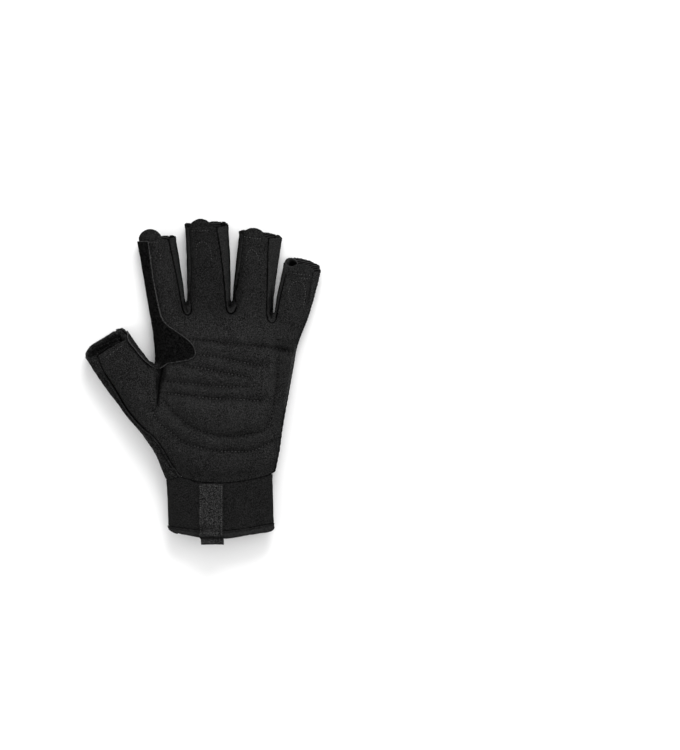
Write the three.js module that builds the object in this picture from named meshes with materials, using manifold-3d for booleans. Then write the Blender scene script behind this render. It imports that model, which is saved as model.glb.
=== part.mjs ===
// A fingerless via ferrata glove for the left hand, lying palm up and empty on a flat surface.
// Millimetres. +Z is up and out of the palm, +Y points to the fingers and +X to the little finger.
// Every piece is cut from one hollow form: a hand, a cuff, four finger tubes and a thumb tube.

import * as THREE from 'three';
import { mergeVertices } from 'three/addons/utils/BufferGeometryUtils.js';
import Module from 'manifold-3d';

const wasm = await Module();
wasm.setup();

// Driving dimensions
const gap = 0.3;
const wall = 1.7;
const palmWall = 2.4;
const layerWall = 1.1;
const patchLowest = 1.2;
const patchTopY = 154.2;
const sideSeamHeight = 7.5;
const cuffLift = 3.0;
const strapWall = 1.2;
const overlayWall = 0.9;
const webbingWall = 1.3;
const webbingLeft = -13.6;
const webbingRight = 1.6;
const loopLeft = -12.8;
const loopRight = 2.2;
const loopEndY = -39.9;
const loopStartY = -36.7;
const loopGap = 1.6;
const bandEndY = -37.5;
const webbingTopY = -1.4;
const hemMiddleY = -34;
const tabRadius = 7.9;
const slitLeft = -27.4;
const slitRight = -24.8;
const slitTopY = 19.0;
const bindingWidth = 3.4;
const lobeEndY = 2.4;
const grooveWidth = 2.8;
const grooveDepth = 1.2;
const creaseWidth = 4.2;
const creaseDepth = 1.7;
const grooveEnd = { rise: 1.2, clear: 0.05, roof: 3 };
const stripWidth = 8.4;
const bindingProud = 0.5;
const strapGap = 0.4;
const farAway = 130;
const farUp = 220;
const skyHeight = 60;

// Tubes. Each row is one section: its left and right edge in plan, its top, how far its
// underside is lifted, and how far its middle bows back towards the wrist.
const handRows = [
  { left: [-35.6, 2.9], right: [35.0, 6.1], top: 19.6, lift: 2.6, bow: 4.2 },
  { left: [-38.2, 9.5], right: [36.0, 10.0], top: 20.6, lift: 1.6, bow: 1.5 },
  { left: [-39.2, 20.0], right: [37.9, 20.0], top: 22.0, lift: 0.6, bow: 0 },
  { left: [-39.8, 33.0], right: [39.8, 33.0], top: 23.0, lift: 0, bow: 0 },
  { left: [-40.4, 48.0], right: [42.3, 48.0], top: 23.4, lift: 0, bow: 0 },
  { left: [-40.8, 74.0], right: [47.3, 75.0], top: 21.2, lift: 0, bow: 0 },
  { left: [-41.0, 84.0], right: [48.8, 85.0], top: 19.6, lift: 0, bow: 0 },
  { left: [-42.2, 96.0], right: [52.2, 95.5], top: 17.4, lift: 0, bow: 0 },
  { left: [-42.6, 104.5], right: [52.6, 100.5], top: 15.2, lift: 0.6, bow: -1.5 },
  { left: [-40.6, 110.0], right: [50.6, 104.0], top: 12.6, lift: 1.6, bow: -2.6, closes: 1 },
  { left: [-38.4, 112.2], right: [48.8, 105.6], top: 10.2, lift: 3.6, bow: -3.4, closes: 1 },
];
const cuffRows = [
  { left: [-35.2, 6.0], right: [33.6, 8.0], top: 19.2, lift: 3.0, bow: 4.0 },
  { left: [-35.1, 1.7], right: [33.7, 4.7], top: 19.0, lift: cuffLift, bow: 4.2 },
  { left: [-34.1, -20.0], right: [34.4, -19.0], top: 18.6, lift: cuffLift, bow: 5.6 },
  { left: [-33.8, -31.0], right: [34.6, -30.0], top: 19.0, lift: cuffLift, bow: 6.6 },
];
const indexRows = [
  { left: [-40.6, 86.0], right: [-19.6, 89.0], top: 15.0, lift: 1.2 },
  { left: [-42.3, 97.0], right: [-20.2, 100.0], top: 16.0, lift: 0 },
  { left: [-44.7, 110.5], right: [-21.9, 113.5], top: 15.8, lift: 0 },
  { left: [-46.8, 123.0], right: [-23.5, 126.0], top: 15.0, lift: 0 },
  { left: [-49.3, 137.5], right: [-25.8, 140.5], top: 14.4, lift: 0 },
  { left: [-51.6, 150.5], right: [-27.8, 153.5], top: 14.2, lift: 0 },
];
const middleRows = [
  { left: [-20.6, 92.0], right: [6.4, 92.0], top: 15.0, lift: 1.2 },
  { left: [-21.2, 103.0], right: [6.8, 103.0], top: 16.0, lift: 0 },
  { left: [-21.5, 115.0], right: [7.2, 115.0], top: 15.8, lift: 0 },
  { left: [-21.7, 127.0], right: [7.1, 127.0], top: 15.0, lift: 0 },
  { left: [-22.1, 144.0], right: [6.6, 144.5], top: 14.4, lift: 0 },
  { left: [-22.8, 160.0], right: [5.5, 161.0], top: 14.4, lift: 0 },
];
const ringRows = [
  { left: [6.6, 91.0], right: [32.0, 89.0], top: 15.0, lift: 1.2 },
  { left: [7.2, 103.0], right: [32.7, 100.0], top: 15.8, lift: 0 },
  { left: [7.8, 116.0], right: [33.8, 113.0], top: 15.4, lift: 0 },
  { left: [9.1, 128.0], right: [35.4, 126.0], top: 14.8, lift: 0 },
  { left: [10.2, 142.0], right: [37.4, 140.0], top: 14.2, lift: 0 },
  { left: [11.4, 156.0], right: [39.3, 153.0], top: 14.0, lift: 0 },
];
const littleRows = [
  { left: [28.0, 88.0], right: [46.4, 82.0], top: 14.4, lift: 1.6 },
  { left: [31.6, 99.0], right: [51.6, 93.5], top: 15.4, lift: 0.3 },
  { left: [34.2, 110.5], right: [56.2, 105.0], top: 15.0, lift: 0 },
  { left: [36.1, 121.0], right: [59.3, 115.0], top: 14.2, lift: 0 },
  { left: [38.4, 131.5], right: [62.1, 125.5], top: 13.6, lift: 0 },
  { left: [40.2, 139.5], right: [64.0, 133.2], top: 13.4, lift: 0 },
];
const thumbRows = [
  { left: [-35.4, 2.6], right: [-17.0, 12.0], top: 17.4, lift: 3.0 },
  { left: [-38.0, 8.8], right: [-16.0, 22.0], top: 19.4, lift: 2.2 },
  { left: [-43.3, 20.0], right: [-19.0, 38.0], top: 21.4, lift: 1.2 },
  { left: [-50.8, 30.3], right: [-25.0, 51.0], top: 22.0, lift: 0.8 },
  { left: [-60.2, 41.6], right: [-34.0, 62.0], top: 21.4, lift: 1.4 },
  { left: [-70.7, 55.0], right: [-44.4, 74.2], top: 20.6, lift: 2.2 },
  { left: [-80.2, 69.0], right: [-52.6, 85.1], top: 19.8, lift: 2.8 },
  { left: [-85.8, 78.0], right: [-59.3, 94.5], top: 19.4, lift: 3.2 },
];

// A section has over steps across its top and under steps below. Round is how round it is: below 1
// the sides stand steeper and the middle is flatter. Reach carries the open end on past the mouth,
// and middle is the height where the section is widest. The underside is filled out by flatFill
// and then cut off at its lift, so that it lies flat.
const flatFill = 1.16;
const tubes = [
  { rows: handRows, over: 16, under: 8, round: 0.76, reach: 0, middle: 7.5 },
  { rows: cuffRows, over: 14, under: 8, round: 0.74, reach: 8, middle: 9.4 },
  { rows: indexRows, over: 8, under: 5, round: 0.84, reach: 11, middle: 7.5 },
  { rows: middleRows, over: 8, under: 5, round: 0.84, reach: 11, middle: 7.5 },
  { rows: ringRows, over: 8, under: 5, round: 0.84, reach: 11, middle: 7.5 },
  { rows: littleRows, over: 8, under: 5, round: 0.84, reach: 11, middle: 7.5 },
  { rows: thumbRows, over: 10, under: 6, round: 0.86, reach: 16, middle: 11.6 },
];

// Finger and thumb mouths. The palm side ends on the front line and the back on the back line, top
// is the height of the tube there, and the cut is wider than the lines by wide on each side.
const mouths = {
  thumb: { front: [[-87, 73.7], [-60.1, 90.9]], back: [[-93.3, 83.2], [-66.4, 100.4]], top: 19.4, wide: 7 },
  index: { front: [[-52.6, 152.8], [-28.8, 155.5]], back: [[-52.6, 155.8], [-28.8, 158.7]],
    top: 14.2, wide: 3 },
  middle: { front: [[-22.8, 161.8], [5.4, 162.4]], back: [[-22.8, 165.8], [5.4, 167.5]],
    top: 14.4, wide: 3 },
  ring: { front: [[11.4, 159], [39.4, 154.4]], back: [[12, 162.4], [39.9, 158.2]], top: 14.0, wide: 3 },
  little: { front: [[40.2, 135.6], [62.6, 131.6]], back: [[42, 145.6], [64.6, 140.2]],
    top: 13.4, wide: 3 },
};
const mouthCut = { low: -6, high: 30, depth: 30 };
const tabs = {
  index: { centre: [-45.1, 154.4], lean: 8 },
  middle: { centre: [-12.6, 161.0], lean: 0 },
  ring: { centre: [21.0, 155.3], lean: -5 },
  little: { centre: [52.4, 133.9], lean: -13 },
};
const littleTabBend = 34;
const bentTabWall = 1.5;
const tabOverlap = 4;

// Seams and edges in plan
const wristSeam = [[-40, 1.2], [-34.5, 1.7], [-23.7, 2.7], [-14.5, 0.1], [-3.2, -0.4], [7.1, -0.2],
  [22.4, 2.2], [33.2, 5.2], [40, 6.4]];
const hemSeam = [[-40, -25.6], [-34, -27.8], [-17, -30.4], [0, -31.2], [17, -29.4], [34, -26.2], [40, -24.6]];
const hemEdge = [[-40, -20], [-35.4, -27.0], [-33.2, -30.2], [-28.8, -32.8], [-18.6, -35.0], [1.9, -36.0],
  [22.4, -33.9], [32.8, -31.2], [35.6, -26.8], [40, -20]];
const thumbSeam = [[-86, 96], [-78.4, 79.6], [-75.0, 70.3], [-68.8, 59.0], [-59.6, 45.7], [-49.3, 34.5],
  [-43.2, 29.8], [-37.0, 22.1], [-31.9, 12.9], [-24.8, 3.2], [-20, -4]];
const knitBorder = [[-46, 96], [-41.4, 84], [-40.0, 74], [-39.0, 60], [-37.6, 45], [-35.2, 33], [-32.0, 22],
  [-31.4, 10], [-31, -4]];
const patchEdge = [[-46.4, 160], [-46.0, 154.4], [-43.7, 135.9], [-41.2, 121.6], [-38.1, 107.3],
  [-35.0, 101.6], [-28.8, 97.0], [-22.7, 92.8], [-18.1, 88.8], [-15.7, 83.7], [-16.5, 80.1],
  [-19.6, 78.3], [-26.7, 76.8], [-34.0, 75.7], [-38.1, 72.6], [-43.2, 73.4], [-49.3, 78.5],
  [-54.5, 84.7], [-58.6, 89.8], [-59.8, 93.9], [-60.4, 100]];
const patchBackEdge = [[-51.4, 160], [-49.6, 152], [-45.6, 130], [-41.8, 110], [-39.0, 96], [-37.6, 84],
  [-40.4, 70], [-45.4, 70.6], [-52.6, 78.6], [-60.4, 88.4], [-67.6, 98]];

// Fourchettes. The finger on the thumb side shows its seam on the palm side, inset from the
// finger's edge. The other finger hides it on its flank, apart from the little finger. Insets are
// at the crotch and at the mouth. The flank's strip is widest flankIn inside the finger's edge.
const fourchettes = [
  { name: 'fourchette_index_middle', before: indexRows, after: middleRows,
    crotch: [-20.4, 106.7], back: [-21.4, 109.4], inset: [2.6, 5.4], afterInset: [2.8, -4], topY: 172 },
  { name: 'fourchette_middle_ring', before: middleRows, after: ringRows,
    crotch: [6.6, 107.6], back: [6.9, 109.8], inset: [3.4, 7.4], afterInset: [2.4, -4], topY: 172 },
  { name: 'fourchette_ring_little', before: ringRows, after: littleRows,
    crotch: [32.9, 101.6], back: [33.4, 103.6], inset: [3.4, 8.6], afterInset: [2.6, 3.4], topY: 166 },
];
const fourchetteBackInset = [2.4, 4.6];
const seamRise = 4.5;
const seamSteps = 5;
const bowlSteps = 6;
const flankTop = 10.8;
const flankStart = 8;
const flankIn = 4.5;
const flankOut = 4.5;
const flankSteps = [0, 14, 30];

// Sewn channels that divide the palm's pads, and the soft creases beside them
const channels = [
  { line: [[-17.5, 91.2], [-3.2, 89.8], [12.2, 87.3], [30.6, 85.2], [44.0, 83.4]] },
  { line: [[-13.6, 81.4], [-3.2, 80.4], [12.2, 77.0], [26.6, 74.5]] },
  { line: [[-23.7, 74.6], [-12.4, 73.0], [-0.1, 70.3], [16.3, 67.5]] },
  { line: [[-34.0, 64.1], [-13.4, 62.3], [1.9, 61.1], [16.3, 61.1]] },
  { line: [[-34.0, 56.8], [-18.6, 55.0], [-3.2, 53.4], [12.2, 52.9], [25.5, 51.9]] },
  { line: [[-34.5, 50.6], [-28.8, 43.7], [-18.6, 35.5], [-8.3, 31.4], [1.9, 29.5], [12.2, 29.8],
    [26.6, 32.4], [31.0, 37.6], [33.7, 46.7], [36.2, 63.1], [37.2, 79.0]] },
  { line: [[-38.0, 36.8], [-30.9, 31.4], [-23.7, 25.7], [-13.4, 22.1], [-3.2, 20.1], [12.2, 19.6],
    [22.4, 20.6], [32.0, 25.6]] },
];
const creases = [
  { line: [[-37.4, 70.6], [-38.6, 63.1], [-39.6, 55.0], [-39.2, 47.8]] },
  { line: [[34.0, 85.6], [40.0, 84.6], [46.0, 83.0]] },
];

const strapOutline = [[-27.0, 0.8], [-27.0, -28.8], [-18, -26.4], [-6, -26.9], [6, -28.2], [20, -27.8],
  [30.6, -27.2], [33.2, -25.2], [32.2, -22.6], [23.6, -12.6], [10, -10.6], [-4, -8.2], [-16, -4.4],
  [-21, -1.8]];
const overlayInset = 0.8;

const v2 = (p) => new THREE.Vector2(p[0], p[1]);
const v3 = (x, y, z) => new THREE.Vector3(x, y, z);

// A solid from a triangle list whose faces point out
function solidFrom(positions, triangles) {
  const vertProperties = new Float32Array(positions);
  let triVerts = new Uint32Array(triangles);
  let volume = 0;
  for (let i = 0; i < triVerts.length; i += 3) {
    const corner = (k) => new THREE.Vector3().fromArray(vertProperties, 3 * triVerts[i + k]);
    const [a, b, c] = [corner(0), corner(1), corner(2)];
    volume += a.dot(b.cross(c));
  }
  if (volume < 0) {
    triVerts = triVerts.reverse();
  }
  return new wasm.Manifold(new wasm.Mesh({ numProp: 3, vertProperties, triVerts }));
}

function solidFromGeometry(geometry) {
  const bare = geometry.clone();
  bare.deleteAttribute('normal');
  bare.deleteAttribute('uv');
  const merged = mergeVertices(bare, 1e-4);
  return solidFrom(merged.attributes.position.array, merged.index.array);
}

// A closed solid through rings that all have the same number of points
function loft(rings) {
  const count = rings[0].length;
  const positions = rings.flat().flatMap((p) => [p.x, p.y, p.z]);
  const triangles = [];
  for (let r = 0; r < rings.length - 1; r++) {
    for (let i = 0; i < count; i++) {
      const a = r * count + i;
      const b = r * count + (i + 1) % count;
      triangles.push(a, b, b + count, a, b + count, a + count);
    }
  }
  for (const r of [0, rings.length - 1]) {
    const centre = rings[r].reduce((sum, p) => sum.add(p), v3(0, 0, 0)).divideScalar(count);
    const hub = positions.length / 3;
    positions.push(centre.x, centre.y, centre.z);
    for (let i = 0; i < count; i++) {
      const a = r * count + i;
      const b = r * count + (i + 1) % count;
      triangles.push(...(r === 0 ? [b, a, hub] : [a, b, hub]));
    }
  }
  return solidFrom(positions, triangles);
}

// One section of a tube, made smaller all round by inset
function section(row, inset, tube) {
  const left = v2(row.left);
  const right = v2(row.right);
  const across = right.clone().sub(left);
  const half = across.length() / 2 - inset;
  across.normalize();
  const middle = left.add(right).multiplyScalar(0.5);
  const along = new THREE.Vector2(-across.y, across.x);
  const top = row.top - inset;
  const bottom = row.lift + inset;
  const centreZ = tube.middle;
  const points = [];
  for (let i = 0; i < tube.over + tube.under; i++) {
    const angle = Math.PI * (i < tube.over ? i / tube.over : 1 + (i - tube.over) / tube.under);
    const u = Math.sign(Math.cos(angle)) * Math.abs(Math.cos(angle)) ** tube.round;
    const w = Math.abs(Math.sin(angle)) ** tube.round;
    const fallen = centreZ - (centreZ - bottom) * flatFill * w;
    const z = Math.sin(angle) > 0 ? centreZ + (top - centreZ) * w : Math.max(fallen, bottom);
    const shift = -(row.bow ?? 0) * (1 - u * u) - (row.closes ?? 0) * inset;
    points.push(v3(middle.x + across.x * half * u + along.x * shift,
      middle.y + across.y * half * u + along.y * shift, z));
  }
  return points;
}

// The rows of a tube with its open end carried on by reach
function reachedRows(rows, reach) {
  if (reach === 0) {
    return rows;
  }
  const [previous, last] = rows.slice(-2);
  const further = (a, b) => {
    const step = v2(b).sub(v2(a));
    return v2(b).add(step.setLength(reach)).toArray();
  };
  const end = { ...last, left: further(previous.left, last.left), right: further(previous.right, last.right) };
  return [...rows, end];
}

// The whole glove as one solid, made smaller all round by inset, with its mouths carried on
function gloveForm(inset, extra) {
  return tubes
    .map((tube) => loft(reachedRows(tube.rows, tube.reach && tube.reach + extra)
      .map((row) => section(row, inset, tube))))
    .reduce((whole, tube) => whole.add(tube));
}

// A layer between two insets
function layer(outside, inside) {
  return gloveForm(outside, 0).subtract(gloveForm(inside, 4));
}

function smooth(points, steps) {
  return new THREE.SplineCurve(points.map(v2)).getPoints(steps);
}

// A straight-sided solid over an outline in plan
function prism(points, low = -skyHeight, high = skyHeight) {
  const shape = new THREE.Shape(points);
  const geometry = new THREE.ExtrudeGeometry(shape, { depth: high - low, bevelEnabled: false });
  return solidFromGeometry(geometry.translate(0, 0, low));
}

function rectangle(left, right, low, high) {
  return [[left, low], [right, low], [right, high], [left, high]].map(v2);
}

// Points moved sideways by a distance, to the left of the line's direction
function offsetLine(points, distance) {
  return points.map((p, i) => {
    const before = points[Math.max(i - 1, 0)];
    const after = points[Math.min(i + 1, points.length - 1)];
    const tangent = after.clone().sub(before).normalize();
    return p.clone().add(new THREE.Vector2(-tangent.y, tangent.x).multiplyScalar(distance));
  });
}

// Everything in plan on one side of a line, up to far corner points
function sideOf(line, distance, corners) {
  return [...offsetLine(line, distance), ...corners.map(v2)];
}

// Everything beyond a mouth: a block whose near face slants from the front line to the back line
function beyondMouth(mouth, clearance) {
  const [[frontLeft, frontRight], [backLeft, backRight]] = [mouth.front.map(v2), mouth.back.map(v2)];
  const out = new THREE.Vector2(frontLeft.y - frontRight.y, frontRight.x - frontLeft.x).normalize();
  const { low, high } = mouthCut;
  const at = (front, back, z, depth, side) => {
    const share = z / mouth.top;
    const p = back.clone().lerp(front, share).add(out.clone().multiplyScalar(depth + clearance));
    const along = frontRight.clone().sub(frontLeft).normalize().multiplyScalar(side * mouth.wide);
    return v3(p.x + along.x, p.y + along.y, z);
  };
  const ring = (depth) => [at(frontLeft, backLeft, low, depth, -1), at(frontRight, backRight, low, depth, 1),
    at(frontRight, backRight, high, depth, 1), at(frontLeft, backLeft, high, depth, -1)];
  return loft([ring(0), ring(mouthCut.depth)]);
}

// Where a finger's edge is at a height in plan
function edgeX(rows, side, y) {
  const points = reachedRows(rows, mouthCut.depth).map((row) => row[side]);
  for (let i = 0; i < points.length - 1; i++) {
    const [[x0, y0], [x1, y1]] = [points[i], points[i + 1]];
    if (y <= y1 || i === points.length - 2) {
      return x0 + (x1 - x0) * (y - y0) / (y1 - y0);
    }
  }
  return points[0][0];
}

// The plan of a fourchette: up one finger's seam, round the crotch and up the other finger's seam
function fourchettePlan(row, crotch, beforeInset, afterInset, grow) {
  const [crotchX, crotchY] = crotch;
  const riseY = crotchY + seamRise;
  const seam = (rows, side, insets, sign) => {
    const points = [];
    for (let i = 0; i <= seamSteps; i++) {
      const y = THREE.MathUtils.lerp(riseY, row.topY, i / seamSteps);
      const inset = THREE.MathUtils.lerp(insets[0], insets[1], Math.min(1, i / (seamSteps - 1))) + grow;
      points.push(new THREE.Vector2(edgeX(rows, side, y) - sign * inset, y));
    }
    return points;
  };
  const before = seam(row.before, 'right', beforeInset, 1).reverse();
  const after = seam(row.after, 'left', afterInset, -1);
  const low = before.at(-1).x;
  const high = after[0].x;
  const middleX = (low + high) / 2;
  const bowl = [];
  for (let i = 1; i < bowlSteps; i++) {
    const angle = Math.PI * (1 + i / bowlSteps);
    const drop = -Math.sin(angle);
    const x = middleX + (high - low) / 2 * Math.cos(angle) + (crotchX - middleX) / 2 * drop;
    bowl.push(new THREE.Vector2(x, riseY - (seamRise + grow) * drop));
  }
  return [...before, ...bowl, ...after];
}

function fourchetteRegion(row, grow) {
  const palmSide = fourchettePlan(row, row.crotch, row.inset, row.afterInset, grow);
  const backSide = fourchettePlan(row, row.back, fourchetteBackInset, fourchetteBackInset, grow);
  const startY = row.crotch[1] + flankStart;
  const flank = [...flankSteps.map((step) => startY + step), row.topY]
    .map((y) => new THREE.Vector2(edgeX(row.after, 'left', y) + flankIn, y));
  const flankPlan = [...flank, new THREE.Vector2(flank.at(-1).x - flankIn - flankOut, row.topY),
    new THREE.Vector2(flank[0].x - flankIn - flankOut, startY)];
  return prism(palmSide, sideSeamHeight, skyHeight)
    .add(prism(backSide, -skyHeight, sideSeamHeight + gap / 2))
    .add(prism(flankPlan, sideSeamHeight - 1, flankTop + grow));
}

function tabPlan({ centre, lean }, base) {
  const points = [];
  const turn = THREE.MathUtils.degToRad(lean);
  const place = (x, y) => new THREE.Vector2(x, y).rotateAround(new THREE.Vector2(), turn).add(v2(centre));
  for (let i = 0; i <= 12; i++) {
    const angle = Math.PI * i / 12;
    points.push(place(tabRadius * Math.cos(angle), tabRadius * Math.sin(angle)));
  }
  return [...points, place(-tabRadius, -base), place(tabRadius, -base)];
}

// Only the largest body that a cut leaves
function mainBody(solid) {
  return solid.decompose().sort((a, b) => b.volume() - a.volume())[0];
}

function geometryFrom(solid) {
  const { vertProperties, triVerts } = solid.getMesh();
  const geometry = new THREE.BufferGeometry();
  geometry.setAttribute('position', new THREE.BufferAttribute(new Float32Array(vertProperties), 3));
  geometry.setIndex(new THREE.BufferAttribute(new Uint32Array(triVerts), 1));
  return geometry;
}

// Heights of the outer surface, found from above
const outer = gloveForm(0, 0);
const bothSides = new THREE.MeshBasicMaterial({ side: THREE.DoubleSide });
const outerMesh = new THREE.Mesh(geometryFrom(outer), bothSides);
const downwards = new THREE.Raycaster();
function surfaceZ(x, y) {
  downwards.set(v3(x, y, skyHeight), v3(0, 0, -1));
  const hit = downwards.intersectObject(outerMesh)[0];
  return hit ? hit.point.z : sideSeamHeight;
}

// A V-shaped groove along a line on the palm, which runs out to nothing at both ends
function groove(line, width, depth) {
  const path = smooth(line, line.length + 1);
  const beside = [offsetLine(path, width / 2), offsetLine(path, -width / 2)];
  const above = (p, rise) => v3(p.x, p.y, surfaceZ(p.x, p.y) + rise);
  const rings = path.map((p, i) => {
    const isEnd = i === 0 || i === path.length - 1;
    const rise = isEnd ? grooveEnd.rise : grooveEnd.clear;
    const floor = isEnd ? grooveEnd.rise / 2 : -depth;
    return [above(beside[0][i], rise), above(p, floor), above(beside[1][i], rise), above(p, grooveEnd.roof)];
  });
  return loft(rings);
}

// Regions in plan
const wristLine = smooth(wristSeam, 14);
const hemLine = smooth(hemSeam, 14);
const hemOutline = smooth(hemEdge, 18);
const farLow = [[farAway, 0], [farAway, -farAway], [-farAway, -farAway], [-farAway, 0]];
const farHigh = [[farAway, 0], [farAway, farUp], [-farAway, farUp], [-farAway, 0]];
const aboveWrist = prism(sideOf(wristLine, gap / 2, farHigh));
const belowWrist = prism(sideOf(wristLine, -gap / 2, farLow));
const aboveHem = prism(sideOf(hemLine, gap / 2, farHigh));
const belowHem = prism(sideOf(hemLine, -gap / 2, farLow));
const insideHemEdge = prism(sideOf(hemOutline, 0, farHigh));
const farLeft = [[-farAway, -farAway], [-farAway, farAway]];
const thumbLine = smooth(thumbSeam, 20);
const knitLine = smooth(knitBorder, 14);
const leatherSide = (distance) => prism(sideOf(thumbLine, distance, farLeft));
const leatherBack = (distance) => prism(sideOf(knitLine, distance, farLeft), -skyHeight, sideSeamHeight);
const upper = prism(rectangle(-farAway, farAway, -farAway, farUp), sideSeamHeight + gap / 2, skyHeight);
const lower = prism(rectangle(-farAway, farAway, -farAway, farUp), -skyHeight, sideSeamHeight - gap / 2);
const allMouths = (clearance) => Object.values(mouths)
  .map((mouth) => beyondMouth(mouth, clearance))
  .reduce((whole, block) => whole.add(block));
const beyond = allMouths(0);
const everyFourchette = fourchettes.map((row) => fourchetteRegion(row, gap)).reduce((a, b) => a.add(b));

// The slit on the back at the thumb side, with a round end, and the plan of its binding
function slitPlan(grow) {
  const middle = (slitLeft + slitRight) / 2;
  const radius = (slitRight - slitLeft) / 2 + grow;
  const points = [];
  for (let i = 0; i <= 10; i++) {
    const angle = Math.PI * i / 10;
    points.push(new THREE.Vector2(middle + radius * Math.cos(angle), slitTopY + radius * Math.sin(angle)));
  }
  return points;
}
const slit = prism([...slitPlan(0), v2([slitLeft, -skyHeight]), v2([slitRight, -skyHeight])],
  -skyHeight, sideSeamHeight);

// The binding is an arch round the slit's end, with a lobe that ends beside the strap and a wider
// strip down the thumb side
function bindingRegion(grow) {
  const archLeft = slitLeft - bindingWidth - grow;
  const archRight = slitRight + bindingWidth + grow;
  const stripLeft = slitRight - stripWidth - grow;
  const [stripTopY, stripWideY] = [4, -2];
  const outline = [[archLeft, stripTopY], [stripLeft, stripWideY], [stripLeft, -skyHeight],
    [slitRight + grow, -skyHeight], [slitRight + grow, lobeEndY - grow], [archRight, lobeEndY - grow]];
  return prism([...slitPlan(bindingWidth + grow), ...outline.map(v2)], -skyHeight, sideSeamHeight + grow - 1);
}

// Walls
const skin = layer(0, wall);
const palmSkin = layer(0, palmWall);
const slitCut = slit.add(bindingRegion(gap));

function palmPanel() {
  let panel = palmSkin.intersect(upper).intersect(aboveWrist)
    .subtract(leatherSide(gap))
    .subtract(everyFourchette)
    .subtract(beyond);
  for (const { line } of channels) {
    panel = panel.subtract(groove(line, grooveWidth, grooveDepth));
  }
  for (const { line } of creases) {
    panel = panel.subtract(groove(line, creaseWidth, creaseDepth));
  }
  return panel;
}

function thumbBack() {
  return skin.intersect(aboveWrist)
    .intersect(leatherSide(0).add(leatherBack(0).intersect(lower)))
    .subtract(beyond)
    .subtract(slitCut);
}

function backPanel() {
  return skin.intersect(lower).intersect(aboveWrist)
    .subtract(leatherSide(gap))
    .subtract(leatherBack(gap))
    .subtract(everyFourchette)
    .subtract(slitCut)
    .subtract(beyond);
}

function fourchette(row) {
  return skin.intersect(fourchetteRegion(row, 0)).subtract(beyond);
}

// The patch lies on the palm and turns round the side of the hand, without reaching the underside
function indexPatch() {
  const mantle = layer(-gap - layerWall, -gap);
  const betweenMouths = [[-62, 112], [-64, 160]];
  const betweenMouthsBehind = [[-64, 112], [-68, 160]];
  const palmSide = prism([...smooth(patchEdge, 34), ...betweenMouths.map(v2)], sideSeamHeight, skyHeight);
  const backSide = prism([...smooth(patchBackEdge, 22), ...betweenMouthsBehind.map(v2)],
    patchLowest, sideSeamHeight + 1);
  const pastIndex = prism(rectangle(-farAway, 0, patchTopY, farUp));
  return mantle.intersect(palmSide.add(backSide))
    .subtract(beyondMouth(mouths.thumb, 0.1))
    .subtract(pastIndex);
}

function fingerTab(name) {
  const shell = layer(0, wall).intersect(upper);
  const plate = prism(tabPlan(tabs[name], tabOverlap), sideSeamHeight, skyHeight);
  return shell.intersect(plate).intersect(beyondMouth(mouths[name], gap));
}

// The little finger's tab is folded down into the mouth
function bentTab(name) {
  const { centre: [x, y], lean } = tabs[name];
  const flat = new THREE.Shape(tabPlan({ centre: [0, 0], lean: 0 }, 0));
  const geometry = new THREE.ExtrudeGeometry(flat, { depth: bentTabWall, bevelEnabled: false });
  geometry.translate(0, 2 * gap, -wall);
  geometry.rotateX(-THREE.MathUtils.degToRad(littleTabBend));
  geometry.rotateZ(THREE.MathUtils.degToRad(lean));
  geometry.translate(x, y, surfaceZ(x, y - 3) - gap);
  return solidFromGeometry(geometry).intersect(beyondMouth(mouths[name], gap));
}

function cuff() {
  return skin.intersect(belowWrist).intersect(aboveHem).subtract(slitCut);
}

function cuffBinding() {
  return skin.intersect(belowHem).intersect(insideHemEdge).subtract(slitCut);
}

function slitBinding() {
  return layer(-bindingProud, wall + bindingProud)
    .intersect(bindingRegion(0))
    .subtract(slit)
    .intersect(insideHemEdge);
}

function closureStrap() {
  const under = layer(-strapGap - strapWall, -strapGap);
  return under.intersect(prism(strapOutline.map(v2), -skyHeight, sideSeamHeight + 1));
}

// The grey overlay leaves an even margin of strap all round
function strapOverlay() {
  const start = strapGap + strapWall + gap;
  const under = layer(-start - overlayWall, -start);
  const outline = strapOutline.map(v2);
  const inner = outline.map((p, i) => {
    const before = outline.at(i - 1);
    const after = outline[(i + 1) % outline.length];
    const tangent = after.clone().sub(before).normalize();
    return p.clone().add(new THREE.Vector2(-tangent.y, tangent.x).multiplyScalar(overlayInset));
  });
  return under.intersect(prism(inner, -skyHeight, sideSeamHeight + 1));
}

// The webbing runs down the cuff, past the hem, and folds back under itself
function wristLoop() {
  const band = layer(-gap - webbingWall, -gap)
    .intersect(prism(rectangle(webbingLeft, webbingRight, bandEndY, webbingTopY), sideSeamHeight, skyHeight));
  const middleX = (webbingLeft + webbingRight) / 2;
  const topZ = surfaceZ(middleX, hemMiddleY) + webbingWall;
  const height = 2 * webbingWall + loopGap;
  const radius = height / 2;
  const turnY = loopEndY + radius;
  const turnZ = topZ - radius;
  const fold = new THREE.Shape();
  fold.moveTo(loopStartY, topZ);
  fold.lineTo(turnY, topZ);
  fold.absarc(turnY, turnZ, radius, Math.PI / 2, Math.PI * 1.5, false);
  fold.lineTo(loopStartY, topZ - height);
  fold.lineTo(loopStartY, topZ - height + webbingWall);
  fold.lineTo(turnY, topZ - height + webbingWall);
  fold.absarc(turnY, turnZ, radius - webbingWall, Math.PI * 1.5, Math.PI / 2, true);
  fold.lineTo(loopStartY, topZ - webbingWall);
  const depth = loopRight - loopLeft;
  const geometry = new THREE.ExtrudeGeometry(fold, { depth, bevelEnabled: false, curveSegments: 8 });
  geometry.applyMatrix4(new THREE.Matrix4().makeBasis(v3(0, 1, 0), v3(0, 0, 1), v3(1, 0, 0)));
  geometry.translate(loopLeft, 0, 0);
  return band.add(solidFromGeometry(geometry));
}

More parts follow.
